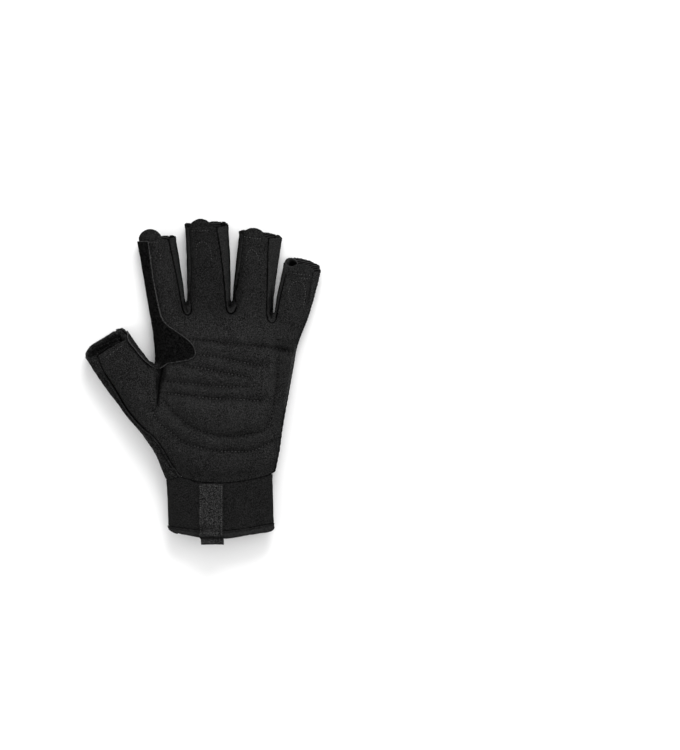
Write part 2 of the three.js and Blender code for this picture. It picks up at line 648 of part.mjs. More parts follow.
const finishes = {
  suede: { color: 0x202021, roughness: 0.92 },
  leather: { color: 0x111112, roughness: 0.85 },
  knit: { color: 0x19191b, roughness: 0.9 },
  stretch: { color: 0x1e1e1f, roughness: 0.88 },
  neoprene: { color: 0x1a1a1b, roughness: 0.8 },
  binding: { color: 0x222223, roughness: 0.85 },
  webbing: { color: 0x2a2a2b, roughness: 0.8 },
  rubber: { color: 0x3b3b3d, roughness: 0.5 },
};

const glove = new THREE.Group();
function addPiece(name, solid, finish) {
  const geometry = geometryFrom(mainBody(solid));
  geometry.computeVertexNormals();
  const material = new THREE.MeshStandardMaterial({ ...finishes[finish], metalness: 0 });
  const mesh = new THREE.Mesh(geometry, material);
  mesh.name = name;
  glove.add(mesh);
}

addPiece('palm_panel', palmPanel(), 'suede');
addPiece('index_patch', indexPatch(), 'leather');
addPiece('thumb_back', thumbBack(), 'leather');
addPiece('back_panel', backPanel(), 'knit');
for (const row of fourchettes) {
  addPiece(row.name, fourchette(row), 'stretch');
}
for (const name of ['index', 'middle', 'ring']) {
  addPiece(`finger_tab_${name}`, fingerTab(name), 'suede');
}
addPiece('finger_tab_little', bentTab('little'), 'suede');
addPiece('cuff', cuff(), 'neoprene');
addPiece('cuff_binding', cuffBinding(), 'binding');
addPiece('slit_binding', slitBinding(), 'binding');
addPiece('closure_strap', closureStrap(), 'webbing');
addPiece('strap_overlay', strapOverlay(), 'rubber');
addPiece('wrist_loop', wristLoop(), 'webbing');

// The origin is the middle of the glove's box, on the surface that it lies on
const box = new THREE.Box3().setFromObject(glove);
glove.position.set(-(box.min.x + box.max.x) / 2, -(box.min.y + box.max.y) / 2, -box.min.z);

export default glove;
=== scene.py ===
# %% [markdown]
# A via ferrata glove, dressed in Blender. The glove is fingerless and soft: a suede palm with sewn
# channels, a knit back, rough leather round the thumb, and a cuff with a strap. It lies palm up and
# empty, so every wall has to look like cloth or leather that keeps the form of a hand by itself.
# The frame holds the true walls. Each piece here takes one of them and gets its surface and finish.

import math

import bpy
import numpy as np
from mathutils import Matrix, Vector, noise
from mathutils.bvhtree import BVHTree
from mathutils.kdtree import KDTree


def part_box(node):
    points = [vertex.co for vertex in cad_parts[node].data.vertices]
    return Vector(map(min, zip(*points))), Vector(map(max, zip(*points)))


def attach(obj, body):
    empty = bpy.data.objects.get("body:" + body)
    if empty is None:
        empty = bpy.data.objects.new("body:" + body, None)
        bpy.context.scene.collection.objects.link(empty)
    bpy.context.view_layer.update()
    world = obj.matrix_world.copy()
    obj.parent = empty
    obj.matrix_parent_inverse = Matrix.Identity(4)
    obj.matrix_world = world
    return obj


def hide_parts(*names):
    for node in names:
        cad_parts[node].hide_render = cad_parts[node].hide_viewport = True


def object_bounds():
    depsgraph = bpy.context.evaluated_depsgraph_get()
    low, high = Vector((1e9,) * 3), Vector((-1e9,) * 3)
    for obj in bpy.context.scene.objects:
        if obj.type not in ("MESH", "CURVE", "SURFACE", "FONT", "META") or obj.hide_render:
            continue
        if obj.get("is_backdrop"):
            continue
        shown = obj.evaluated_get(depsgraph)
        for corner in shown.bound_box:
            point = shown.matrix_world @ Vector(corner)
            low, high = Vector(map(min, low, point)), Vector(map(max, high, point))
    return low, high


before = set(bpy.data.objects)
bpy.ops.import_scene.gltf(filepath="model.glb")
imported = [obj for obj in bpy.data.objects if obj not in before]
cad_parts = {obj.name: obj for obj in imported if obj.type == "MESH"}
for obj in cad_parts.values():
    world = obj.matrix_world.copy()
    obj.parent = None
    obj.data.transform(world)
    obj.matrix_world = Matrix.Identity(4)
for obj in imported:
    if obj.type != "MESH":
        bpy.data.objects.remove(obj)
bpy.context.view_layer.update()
MM = 0.001

# The drawing's zero point, found from two pieces whose place in the drawing is known
STRAP_LEFT = -27.0
LOOP_END = -39.9
drawing_zero = np.array([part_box("closure_strap")[0].x - STRAP_LEFT * MM,
                         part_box("wrist_loop")[0].y - LOOP_END * MM, 0.0])

# %% [markdown]
# The glove is seen from straight above. A long lens keeps the finger tips from leaning outwards, as
# in a catalogue picture. The lens is worked out from how much of the table the picture takes in.

# %% The camera
VIEW_CENTRE = (0.0877, 0.0040)
TABLE_IN_PICTURE = 0.4811
CAMERA_HEIGHT = 6.0
SENSOR = 36.0


def put(name, data):
    """A new object in the scene."""
    obj = bpy.data.objects.new(name, data)
    bpy.context.scene.collection.objects.link(obj)
    return obj


camera_data = bpy.data.cameras.new("camera")
camera_data.sensor_width = SENSOR
camera_data.lens = SENSOR * CAMERA_HEIGHT / TABLE_IN_PICTURE
camera_data.clip_end = 10
camera = put("camera", camera_data)
camera.location = (*VIEW_CENTRE, CAMERA_HEIGHT)
bpy.context.scene.camera = camera
print("the lens is", round(camera_data.lens), "mm")

# %% [markdown]
# A cloth wall could be modelled from flat panels, but then it would have to be fitted to the frame
# by hand. It is copied from the frame instead. A voxel remesh turns the long thin triangles of the
# copy into small even squares, which can be smoothed, dented and creased like cloth. Where two
# copies touch, the remesh also fuses them, as when a tongue is cut from the same hide as its panel.

# %% Copying a wall


def only(obj):
    """Selects one object and makes it active, which is what most operators act on."""
    bpy.ops.object.select_all(action="DESELECT")
    obj.select_set(True)
    bpy.context.view_layer.objects.active = obj


def apply_modifier(obj, kind, **settings):
    modifier = obj.modifiers.new(kind.lower(), kind)
    for name, value in settings.items():
        setattr(modifier, name, value)
    only(obj)
    bpy.ops.object.modifier_apply(modifier=modifier.name)


def copy_of(node, slide=(0, 0)):
    """A free copy of a node's wall, moved in plan by some millimetres."""
    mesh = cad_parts[node].data.copy()
    mesh.materials.clear()
    mesh.transform(Matrix.Translation((slide[0] * MM, slide[1] * MM, 0)))
    return put(node + "_copy", mesh)


def fused(name, voxel, copies):
    """The copies as one wall in small even faces, voxel millimetres across."""
    obj = copies[0]
    only(obj)
    for other in copies[1:]:
        other.select_set(True)
    if len(copies) > 1:
        bpy.ops.object.join()
    bpy.ops.object.mode_set(mode="EDIT")
    bpy.ops.mesh.select_all(action="SELECT")
    bpy.ops.mesh.remove_doubles(threshold=0.005 * MM)
    bpy.ops.object.mode_set(mode="OBJECT")
    apply_modifier(obj, "REMESH", mode="VOXEL", voxel_size=voxel * MM, use_smooth_shade=True)
    obj.name = name
    return obj


# %% [markdown]
# Cloth is shaped here by moving its points in code. Proportional editing would do the same by hand,
# but a glove has dozens of creases. All points of a piece are read as one table in the drawing's
# millimetres, moved by a sum, and put back.

# %% Reading and moving points


def read(rows, name, width=3, kind=np.float32):
    """One property of all vertices, edges or values, as a table with that many columns."""
    flat = np.empty(width * len(rows), kind)
    rows.foreach_get(name, flat)
    return flat.reshape(-1, width)


def points_of(obj):
    return (read(obj.data.vertices, "co").astype(float) - drawing_zero) / MM


def normals_of(obj):
    return read(obj.data.vertices, "normal").astype(float)


def place_points(obj, points):
    obj.data.vertices.foreach_set("co", (points * MM + drawing_zero).astype(np.float32).ravel())
    obj.data.update()


def carry(obj, name, values):
    """Stores one number a point on the mesh, for a finish to read."""
    attribute = obj.data.attributes.get(name) or obj.data.attributes.new(name, "FLOAT", "POINT")
    attribute.data.foreach_set("value", np.asarray(values, np.float32))


# %% [markdown]
# Nothing on a glove starts or stops abruptly, so every change is weighted by a soft step or a soft
# bump of some distance. Texture masks could hold such weights, but a distance needs no picture. It
# is measured in plan, or to the nearest of many places, which a search tree finds quickly.

# %% Soft steps and distances


def ease(values, start, end):
    """Goes smoothly from 0 at start to 1 at end."""
    t = np.clip((values - start) / (end - start), 0, 1)
    return t * t * (3 - 2 * t)


def bell(gaps, width):
    """1 where a gap is nothing, and almost 0 two widths away."""
    return np.exp(-(gaps / width) ** 2)


def off(points, place):
    """How far each point is from one place in plan."""
    return np.linalg.norm(points[:, :2] - place, axis=1)


def in_plan(points):
    """The same points, all laid flat."""
    return np.column_stack([points[:, :2], np.zeros(len(points))])


def nearest(points, targets):
    """For each point, which target is nearest and how far away it is."""
    tree = KDTree(len(targets))
    for i, target in enumerate(targets):
        tree.insert(target, i)
    tree.balance()
    found = [tree.find(p) for p in points]
    return np.array([f[1] for f in found]), np.array([f[2] for f in found])


# %% [markdown]
# Smoothing pulls each point towards its neighbours. That takes out the steps of the remesh and the
# flats of the frame, but it also eats thin rims, such as the cut edge of a finger. So the distance
# to the nearest rim is found first, and the long smoothing fades out there. A point is on a rim
# where a line straight into the wall has further to go than the wall is thick.

# %% Smoothing a wall
RAY_START = 0.05
RIM_IS_DEEPER = 1.7


def tree_of(obj):
    """The surface of a piece, ready for rays."""
    return BVHTree.FromObject(obj, bpy.context.evaluated_depsgraph_get())


def rim_of(obj, wall):
    """Millimetres from each point to the nearest cut edge of a wall, and the way that edge faces."""
    tree = tree_of(obj)
    normals = normals_of(obj)
    points = points_of(obj)
    depths = []
    for place, normal in zip(points * MM + drawing_zero, normals):
        inward = Vector(-normal)
        hit = tree.ray_cast(Vector(place) + inward * RAY_START * MM, inward)
        depths.append(hit[3] / MM if hit[3] else 0)
    on_rim = np.flatnonzero(np.array(depths) > RIM_IS_DEEPER * wall)
    index, distance = nearest(points, points[on_rim])
    return distance, normals[on_rim[index]]


def soften(obj, rounds, free=1.0):
    """Moves each point half way to the mean of its neighbours. Free is how far it may follow."""
    points = points_of(obj)
    edges = read(obj.data.edges, "vertices", 2, np.int32)
    count = np.bincount(edges.ravel(), minlength=len(points))
    weight = 0.5 * np.broadcast_to(free, len(points))
    for _ in range(rounds):
        for axis in range(3):
            column = points[:, axis]
            total = np.bincount(edges[:, 0], column[edges[:, 1]], len(points))
            total += np.bincount(edges[:, 1], column[edges[:, 0]], len(points))
            points[:, axis] = column + weight * (total / count - column)
    place_points(obj, points)


# %% [markdown]
# Two panels that are sewn together meet edge to edge, and their edges roll in. The frame leaves a
# hair's gap there, which would let the table show through. So each rim is let out a little, until
# neighbours touch. Where two edges roll in, the seam lies in shade, so each point near another piece
# carries a number for the painted shade that the finishes darken by.

# %% Letting the rims out to meet
RIM_LET_OUT = 0.38
SEAM_REACH = 1.2
SEAM_WIDTH = 0.85


def near_others(points, nodes):
    """1 where another node is close by, and 0 where none is."""
    places = []
    faces = []
    for name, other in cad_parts.items():
        if name not in nodes:
            base = len(places)
            places += [vertex.co.copy() for vertex in other.data.vertices]
            faces += [[base + i for i in face.vertices] for face in other.data.polygons]
    tree = BVHTree.FromPolygons(places, faces)
    gaps = np.array([tree.find_nearest(Vector(p))[3] for p in points * MM + drawing_zero]) / MM
    return 1 - ease(gaps, 0.6 * SEAM_REACH, SEAM_REACH)


def cloth_wall(name, voxel, wall, rounds, *nodes, slides=None, fade=(0.7, 3.0), let_out=RIM_LET_OUT):
    """A wall of some nodes as cloth. Also gives each point's distance to the rim."""
    obj = fused(name, voxel, [copy_of(node, (slides or {}).get(node, (0, 0))) for node in nodes])
    soften(obj, 3)
    rim, facing = rim_of(obj, wall)
    soften(obj, rounds, ease(rim, *fade))
    place_points(obj, points_of(obj) + facing * (let_out * (1 - ease(rim, 0.3, 1.6)))[:, None])
    soften(obj, 1)
    # This number is painted shade where the rolled-in edges of two pieces meet.
    seam = 1 - ease(rim, 0.25, SEAM_WIDTH)
    edge = seam > 0
    seam[edge] *= near_others(points_of(obj)[edge], nodes)
    carry(obj, "seam", seam)
    print(name, "has", len(seam), "points")
    return obj, rim


# %% [markdown]
# Most of what is sewn or pressed into the glove follows a line: a channel, a crease, a row of
# stitches. A line is drawn through a few points in plan, as a spline, and then each point of a mesh
# is asked how far it is from the line, how far along it and on which side.

# %% Lines on the glove
PATH_STEP = 0.5


def run_of(path):
    """How far along a path each of its points is."""
    return np.concatenate([[0], np.cumsum(np.linalg.norm(np.diff(path, axis=0), axis=1))])


def spline(points):
    """Places every half millimetre along a smooth line through the given points."""
    knots = [np.array(p, float) for p in points]
    knots = [2 * knots[0] - knots[1], *knots, 2 * knots[-1] - knots[-2]]
    dense = []
    for a, b, c, d in zip(knots, knots[1:], knots[2:], knots[3:]):
        for t in np.linspace(0, 1, 40, endpoint=False):
            dense.append(0.5 * (2 * b + (c - a) * t + (2 * a - 5 * b + 4 * c - d) * t ** 2
                                + (3 * b - a - 3 * c + d) * t ** 3))
    dense = np.array([*dense, knots[-2]])
    run = run_of(dense)
    marks = np.linspace(0, run[-1], max(2, round(run[-1] / PATH_STEP) + 1))
    return np.column_stack([np.interp(marks, run, dense[:, k]) for k in (0, 1)])


def beside(points, *lines):
    """Each point against the nearest line in plan: how far off, how far along, which side."""
    paths = [spline(line) for line in lines]
    joined = np.concatenate(paths)
    run = np.concatenate([run_of(path) for path in paths])
    ahead = np.concatenate([np.gradient(path, axis=0) for path in paths])
    ahead /= np.linalg.norm(ahead, axis=1)[:, None]
    index, _ = nearest(in_plan(points), in_plan(joined))
    offset = points[:, :2] - joined[index]
    side = ahead[index, 0] * offset[:, 1] - ahead[index, 1] * offset[:, 0]
    along = run[index] + (ahead[index] * offset).sum(axis=1)
    return np.hypot(*offset.T), along, side


# %% [markdown]
# Cloth changes shape in four ways here: it is pushed in or out along its own normals, dented along
# a line, made a little lumpy, or slid sideways in plan. A sculpt brush would do each of them, but
# not twice the same, and two panels that share a seam have to move alike.

# %% Pressing and sliding cloth


def facing_up(obj):
    return ease(normals_of(obj)[:, 2], 0.1, 0.5)


def facing_down(obj):
    return ease(-normals_of(obj)[:, 2], 0.1, 0.5)


def push(obj, depth):
    """Moves every point out along its normal by its own depth."""
    place_points(obj, points_of(obj) + normals_of(obj) * depth[:, None])


def dent(obj, line, width, depth, fade=(4, 4), where=facing_up):
    """A soft crease along a line in plan, which runs out to nothing at both ends."""
    gap, along, _ = beside(points_of(obj), line)
    ends = ease(along, -0.5, fade[0]) * ease(run_of(spline(line))[-1] - along, -0.5, fade[1])
    push(obj, -depth * ends * bell(gap, width) * where(obj))


def lumps(points, size, shift=0.0):
    """Smooth noise about 0 at each point, whose lumps are size millimetres across."""
    return np.array([noise.noise(Vector(p)) for p in points / size + shift])


def stretch(obj, line, shift, reach, middle, spread, top=None):
    """Slides what lies near a line in plan by shift, most at one mark along the line.
    What lies as high as top stays where it is, so that the wall below it leans out."""
    points = points_of(obj)
    gap, along, _ = beside(points, line)
    share = bell(gap, reach) * bell(along - middle, spread)
    if top:
        share *= 1 - ease(points[:, 2], top - 7, top)
    points[:, :2] += share[:, None] * np.array(shift)
    place_points(obj, points)


def ease_seam(obj, place, reach, share):
    """Lightens the seam's painted shade round one place in plan."""
    seam = read(obj.data.attributes["seam"].data, "value", 1)[:, 0]
    carry(obj, "seam", seam * (1 - share * bell(off(points_of(obj), place), reach)))


# %% [markdown]
# Shader maths reads best as sums. The small class below wraps a socket, and its operators add the
# Math nodes, so a mask can be written as 1 - wear. One method makes every other kind of node.

# %% Writing finishes as sums


class Term:
    """A number or vector that the shader works out at each point."""

    def __init__(self, finish, socket):
        self.finish = finish
        self.socket = socket

    def maths(self, operation, *values):
        return self.finish.node("ShaderNodeMath", {"operation": operation}, dict(enumerate(values)))

    def __add__(self, other):
        return self.maths("ADD", self, other)

    def __sub__(self, other):
        return self.maths("SUBTRACT", self, other)

    def __rsub__(self, other):
        return self.maths("SUBTRACT", other, self)

    def __mul__(self, other):
        return self.maths("MULTIPLY", self, other)

    def __pow__(self, other):
        return self.maths("POWER", self, other)

    __radd__ = __add__
    __rmul__ = __mul__

    def wave(self, pitch):
        """Goes from 0 to 1 and back once every pitch."""
        return self.maths("COSINE", self * (2 * math.pi / pitch)) * -0.5 + 0.5

    def size(self):
        return self.maths("ABSOLUTE", self)

    def ramp(self, low, high):
        """Goes from 0 at low to 1 at high."""
        return self.finish.node("ShaderNodeMapRange", {"interpolation_type": "SMOOTHSTEP"},
                                {"Value": self, "From Min": low, "From Max": high})


# %% [markdown]
# A finish is one material. Its pattern is in millimetres on the object itself, so it needs no
# unwrapping, and what differs from place to place comes from numbers that the mesh carries.

# %% One finish


class Finish:
    """One material, whose pattern is in millimetres."""

    def __init__(self, name, roughness, specular):
        self.material = bpy.data.materials.new(name)
        self.material.use_nodes = True
        self.tree = self.material.node_tree
        self.shader = self.tree.nodes["Principled BSDF"]
        self.shader.inputs["Roughness"].default_value = roughness
        self.shader.inputs["Specular IOR Level"].default_value = specular
        place = self.tree.nodes.new("ShaderNodeTexCoord").outputs["Object"]
        self.place = self.node("ShaderNodeVectorMath", {"operation": "SCALE"},
                               {0: Term(self, place), "Scale": 1 / MM})

    def node(self, kind, settings, inputs, output=0):
        made = self.tree.nodes.new(kind)
        for name, value in settings.items():
            setattr(made, name, value)
        for name, value in inputs.items():
            if isinstance(value, Term):
                self.tree.links.new(value.socket, made.inputs[name])
            else:
                made.inputs[name].default_value = value
        return Term(self, made.outputs[output])

    def own(self, attribute):
        """A number that the piece's mesh carries at each point."""
        return self.node("ShaderNodeAttribute", {"attribute_name": attribute}, {}, "Fac")

    def grain(self, size, detail=2.0, place=None):
        """Soft noise from about 0 to 1 whose spots are size millimetres across."""
        return self.node("ShaderNodeTexNoise", {},
                         {"Vector": place or self.place, "Scale": 1 / size, "Detail": detail}, "Fac")

    def vector(self, x, y, z=0.0):
        """A place from three numbers, for a pattern that follows the piece."""
        return self.node("ShaderNodeCombineXYZ", {}, {"X": x, "Y": y, "Z": z})

    def blend(self, share, low, high):
        """A colour between two. A share above 1 counts as 1."""
        return self.node("ShaderNodeMix", {"data_type": "RGBA"},
                         {0: share, 6: colour(low), 7: colour(high)}, 2)

    def feed(self, **sockets):
        for name, value in sockets.items():
            self.tree.links.new(value.socket, self.shader.inputs[name.replace("_", " ")])

    def relief(self, height, millimetres):
        """Lights the surface as if height, from 0 to 1, stood that many millimetres proud."""
        bump = self.node("ShaderNodeBump", {}, {"Height": height, "Distance": millimetres * MM})
        self.feed(Normal=bump)

    def done(self):
        """The material, once its pattern is whole."""
        print(self.material.name, "is made of", len(self.tree.nodes), "shader nodes")
        return self.material


def colour(value):
    """A neutral cloth black from one lightness, or a colour that is passed on."""
    return value if isinstance(value, Term) else (value, value, value, 1.0)


# %% [markdown]
# Every piece ends the same way: what sank below the table is pressed flat on it, its finish goes
# on, it stands for its node, and it rides on the glove's one body.

# %% Finishing a piece
LOWEST = 0.02


def hand_over(obj, material, slot, *nodes, steep=0.6):
    """Steep is how level a point may be before it counts as part of a flank. Most finishes paint shade on a
    flank, and the leather a highlight.
    """
    carry(obj, "flank", 1 - ease(np.abs(normals_of(obj)[:, 2]), 0.15, steep))
    points = points_of(obj)
    points[:, 2] = np.maximum(points[:, 2], LOWEST)
    place_points(obj, points)
    obj.data.materials.clear()
    obj.data.materials.append(material)
    only(obj)
    bpy.ops.object.shade_smooth()
    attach(obj, "root")
    if nodes:
        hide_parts(*nodes)
    print(obj.name, "is", np.ptp(points, axis=0).round(1), "mm with", len(obj.data.polygons), "faces")


# %% [markdown]
# The palm is synthetic suede. Its nap shows as fine light and dark specks and as faint cloudy
# patches where it was brushed one way or the other. Seams, channels, needle holes, folds and steep
# flanks get painted shade. The needle holes of a seam could be cut into the mesh, but they are far
# smaller than its faces, so the finish draws them as painted shade and a small dip, from how far
# along the seam and how far beside it each point is. A blend stops at a share of 1, and painted
# highlights go above it. So the share is halved and the nap's colour is double.

# %% Palm suede
NEEDLE_PITCH = 2.2


def suede_finish(name, lightness):
    finish = Finish(name, 0.95, 0.0)
    nap = finish.grain(0.5, 0.0)
    fibres = finish.grain(0.34, 0.0)
    flecks = finish.grain(0.46, 0.0)
    cloud = finish.grain(13.0, 1.0)
    hole = finish.own("seam_along").wave(NEEDLE_PITCH) * -1 + 1
    hole = hole ** 5 * (1 - finish.own("seam_side").size().ramp(0.2, 0.6))
    light = nap.ramp(0.42, 0.58) * 0.3 + fibres.ramp(0.42, 0.58) * 0.2 + cloud.ramp(0.3, 0.7) * 0.1
    light = light + flecks.ramp(0.56, 0.64)
    # Painted shade at seams, in channels, needle holes and folds, and on flanks, times a number that adds
    # more painted shade and painted highlights.
    shade = (1 - 0.95 * finish.own("seam")) * (1 - 0.25 * finish.own("pressed")) * (1 - 0.75 * hole)
    shade = shade * (1 - 0.9 * finish.own("fold")) * (1 - 0.6 * finish.own("flank"))
    shade = shade * finish.own("brushed_and_lit")
    doubled = finish.blend(light, 0.1 * lightness, 5.2 * lightness)
    finish.feed(Base_Color=finish.blend(shade * 0.5, 0.0, doubled))
    finish.relief(nap * 0.5 + fibres * 0.5 - hole, 0.2)
    return finish.done()


palm_suede = suede_finish("palm_suede", 0.0119)

# %% [markdown]
# The palm, the finger fronts and the round tongues at the finger tips are cut from one hide. The
# frame keeps the tongues as pieces of their own, so their copies are slid down a little until they
# touch the finger fronts, and the remesh fuses them. The little finger's tongue is folded down into
# its mouth, and fuses along its fold.

# %% The palm with its tongues
TONGUE_SLIDE = 0.5
TONGUE_LEAN = {"index": 8, "middle": 0, "ring": -5, "little": -13}

tongue_slides = {}
for finger, lean in TONGUE_LEAN.items():
    turn = math.radians(lean)
    tongue_slides["finger_tab_" + finger] = (TONGUE_SLIDE * math.sin(turn), -TONGUE_SLIDE * math.cos(turn))
palm, palm_rim = cloth_wall("palm", 0.66, 2.4, 55, "palm_panel", *tongue_slides, slides=tongue_slides)

# %% [markdown]
# There is foam under the palm, and rows of stitches press channels into it. Two rows cross above
# the fingers' roots and below them, three short ones lie between, and two long ones run round the
# heel of the hand. They are drawn through points that were measured, because no rule gives them.
# The pads end short of the patch, so its distance in plan is needed too.

# %% Where the palm is sewn
CHANNELS = [
    [(-17.5, 91.2), (-3.2, 89.8), (12.2, 88.0), (30.6, 86.4), (44.0, 83.6)],
    [(-13.6, 81.4), (-3.2, 80.4), (12.2, 77.0), (26.6, 74.5)],
    [(-23.7, 74.6), (-12.4, 73.0), (-0.1, 70.3), (16.3, 67.5)],
    [(-34.0, 64.1), (-13.4, 62.3), (1.9, 61.1), (16.3, 61.1)],
    [(-34.0, 56.8), (-18.6, 55.0), (-3.2, 53.4), (12.2, 52.9), (25.5, 51.9)],
    [(-34.5, 50.6), (-28.8, 43.7), (-18.6, 35.5), (-8.3, 31.4), (1.9, 29.5), (12.2, 29.8),
     (26.6, 32.4), (31.0, 37.6), (33.7, 46.7), (36.2, 63.1), (37.2, 79.0)],
    [(-43.5, 45.4), (-38.0, 36.8), (-30.9, 31.4), (-23.7, 25.7), (-13.4, 22.1), (-3.2, 20.1),
     (12.2, 19.6), (22.4, 20.6), (32.0, 25.6)],
]
SAMPLE_STEP = 1.5


def near_node(points, node):
    """How far each point is from a node in plan, by places spread over the node's triangles."""
    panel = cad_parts[node]
    places = points_of(panel)
    spread = [places]
    for face in panel.data.polygons:
        corners = places[list(face.vertices)]
        steps = max(1, int(np.ptp(corners[:, :2], axis=0).max() / SAMPLE_STEP))
        for a in range(steps + 1):
            for b in range(steps + 1 - a):
                spread.append(np.array([(1 - (a + b) / steps, a / steps, b / steps)]) @ corners)
    return nearest(in_plan(points), in_plan(np.concatenate(spread)))[1]


# %% [markdown]
# The pads could be a formula of the distance to the channels, but real pads pull small wrinkles
# at the stitches, so a cloth simulation finds their form: a slack sheet is pinned and blown up
# from below. It is held where thread holds the real foam, at the channels, along the palm's rim and
# round the patch. Its own edge is held too, or it would flap.

# %% Where the sheet is held
SHEET_LEFT, SHEET_RIGHT = -46.0, 52.0
SHEET_LOW, SHEET_HIGH = 0.0, 98.0
SHEET_STEP = 1.4
SEWN_DOWN = 0.8
RIM_CLEAR = 4.0
PATCH_CLEAR = 2.0


def pinned_points(flat):
    """Where the sheet is held: at the channels, the palm's rim, the patch and its own edge."""
    inside = points_of(palm)[palm_rim > RIM_CLEAR]
    off_palm = nearest(flat, in_plan(inside))[1]
    to_channel = beside(flat, *CHANNELS)[0]
    to_patch = near_node(flat, "index_patch")
    inward = np.min([flat[:, 0] - SHEET_LEFT, SHEET_RIGHT - flat[:, 0], flat[:, 1] - SHEET_LOW,
                     SHEET_HIGH - flat[:, 1]], axis=0)
    return ((to_channel < SEWN_DOWN) | (off_palm > SHEET_STEP) | (to_patch < PATCH_CLEAR)
            | (inward < SHEET_STEP))


# %% [markdown]
# The simulation runs on a coarse flat sheet ten times life size, which is quick and steady. No air
# is needed to blow it up: gravity is turned round for a few frames, and the slack sheet falls
# upwards between its pins. Only its heights are kept, and the sheet is deleted.

# %% Blowing up the pads
SHEET_SCALE = 10
SHEET_SMOOTHING = 2
SLACK = 0.055
BLOW_FRAMES = 22


def blown_sheet():
    """Millimetres that a slack sheet rises between the lines that it is sewn down along."""
    columns = round((SHEET_RIGHT - SHEET_LEFT) / SHEET_STEP)
    rows = round((SHEET_HIGH - SHEET_LOW) / SHEET_STEP)
    bpy.ops.object.select_all(action="DESELECT")
    bpy.ops.mesh.primitive_grid_add(x_subdivisions=columns, y_subdivisions=rows, size=1)
    sheet = bpy.context.object
    unit = read(sheet.data.vertices, "co")
    flat = np.column_stack([(unit[:, 0] + 0.5) * (SHEET_RIGHT - SHEET_LEFT) + SHEET_LEFT,
                            (unit[:, 1] + 0.5) * (SHEET_HIGH - SHEET_LOW) + SHEET_LOW,
                            np.zeros(len(unit))])
    sheet.data.vertices.foreach_set("co", (flat * MM * SHEET_SCALE).astype(np.float32).ravel())
    pinned = np.flatnonzero(pinned_points(flat))
    group = sheet.vertex_groups.new(name="sewn")
    group.add(pinned.tolist(), 1.0, "REPLACE")
    cloth = sheet.modifiers.new("cloth", "CLOTH")
    cloth.settings.quality = 6
    cloth.settings.mass = 0.15
    cloth.settings.tension_stiffness = 20
    cloth.settings.compression_stiffness = 20
    cloth.settings.bending_stiffness = 0.2
    cloth.settings.shrink_min = -SLACK
    cloth.settings.vertex_group_mass = group.name
    cloth.collision_settings.use_self_collision = False
    scene = bpy.context.scene
    scene.gravity = (0, 0, 9.81)
    for number in range(1, BLOW_FRAMES + 1):
        scene.frame_set(number)
    only(sheet)
    bpy.ops.object.modifier_apply(modifier=cloth.name)
    scene.frame_set(1)
    scene.gravity = (0, 0, -9.81)
    heights = read(sheet.data.vertices, "co")[:, 2] / (MM * SHEET_SCALE)
    bpy.data.objects.remove(sheet)
    print("the sheet rises", round(float(heights.max()), 2), "mm,", len(pinned), "points pinned")
    return heights.reshape(rows + 1, columns + 1)


pad_heights = blown_sheet()
for _ in range(SHEET_SMOOTHING):
    wide = np.pad(pad_heights, 1, mode="edge")
    around = wide[:-2, 1:-1] + wide[2:, 1:-1] + wide[1:-1, :-2] + wide[1:-1, 2:]
    pad_heights = (pad_heights * 2 + around) / 6

# %% [markdown]
# Now the palm takes the pads, and with them the narrow groove of each channel, the wide valley it
# lies in, and the small unevenness of soft hide. A Shrinkwrap onto the sheet would flatten the
# palm's own form, so the sheet's height is read over each point and added along the normal. The
# hide under the patch is left even and sinks a little, to make room for it. Before all this, the
# corner of the thumb's mouth is pulled down, where its seam tugs at the hide.

# %% Pads and channels on the palm
PAD_SHARE = 1.4
GROOVE_DEPTH = 0.9
VALLEY_DEPTH = 0.45
PATCH_SINKS = 0.25
THUMB_MOUTH_PULL = {"line": [(-66.0, 92.0), (-61.0, 95.5)], "shift": (0.6, -3.0), "reach": 2.6,
                    "middle": 3.0, "spread": 4.5}


def read_sheet(heights, points):
    """The sheet's height over each point, by its four nearest sheet points."""
    rows, columns = heights.shape
    v = np.clip((points[:, 1] - SHEET_LOW) / (SHEET_HIGH - SHEET_LOW), 0, 0.9999) * (rows - 1)
    u = np.clip((points[:, 0] - SHEET_LEFT) / (SHEET_RIGHT - SHEET_LEFT), 0, 0.9999) * (columns - 1)
    i, j = v.astype(int), u.astype(int)
    v, u = v - i, u - j
    low = heights[i, j] * (1 - u) + heights[i, j + 1] * u
    high = heights[i + 1, j] * (1 - u) + heights[i + 1, j + 1] * u
    return low * (1 - v) + high * v


soften(palm, 1)
stretch(palm, **THUMB_MOUTH_PULL)
points = points_of(palm)
up = facing_up(palm)
lift = read_sheet(pad_heights, points) * PAD_SHARE * ease(palm_rim, 1.5, 7.0)
to_channel = beside(points, *CHANNELS)[0]
groove = -GROOVE_DEPTH * np.exp(-to_channel / 0.9) - VALLEY_DEPTH * bell(to_channel, 2.8)
groove *= 1 - 0.45 * ease(points[:, 0], 29, 33) * ease(points[:, 1], 38, 46)
uneven = 0.35 * lumps(points, 16.0) + 0.16 * lumps(points, 5.0, 7.0)
bare = ease(near_node(points, "index_patch"), 0.3, 2.5)
push(palm, up * bare * (lift + groove + uneven * ease(palm_rim, 0.5, 4.0)))
push(palm, up * -PATCH_SINKS * (1 - bare))
soften(palm, 1)
print("the pads lift the palm by up to", round(float(lift.max()), 1), "mm")

# %% [markdown]
# The hide also folds where the hand bends it. The deepest fold is a dart below the patch, with a
# low ridge beside it. Others run along the little finger, at the thumb and across its folded
# tongue. They are few and each is different, so each is one row of a table.

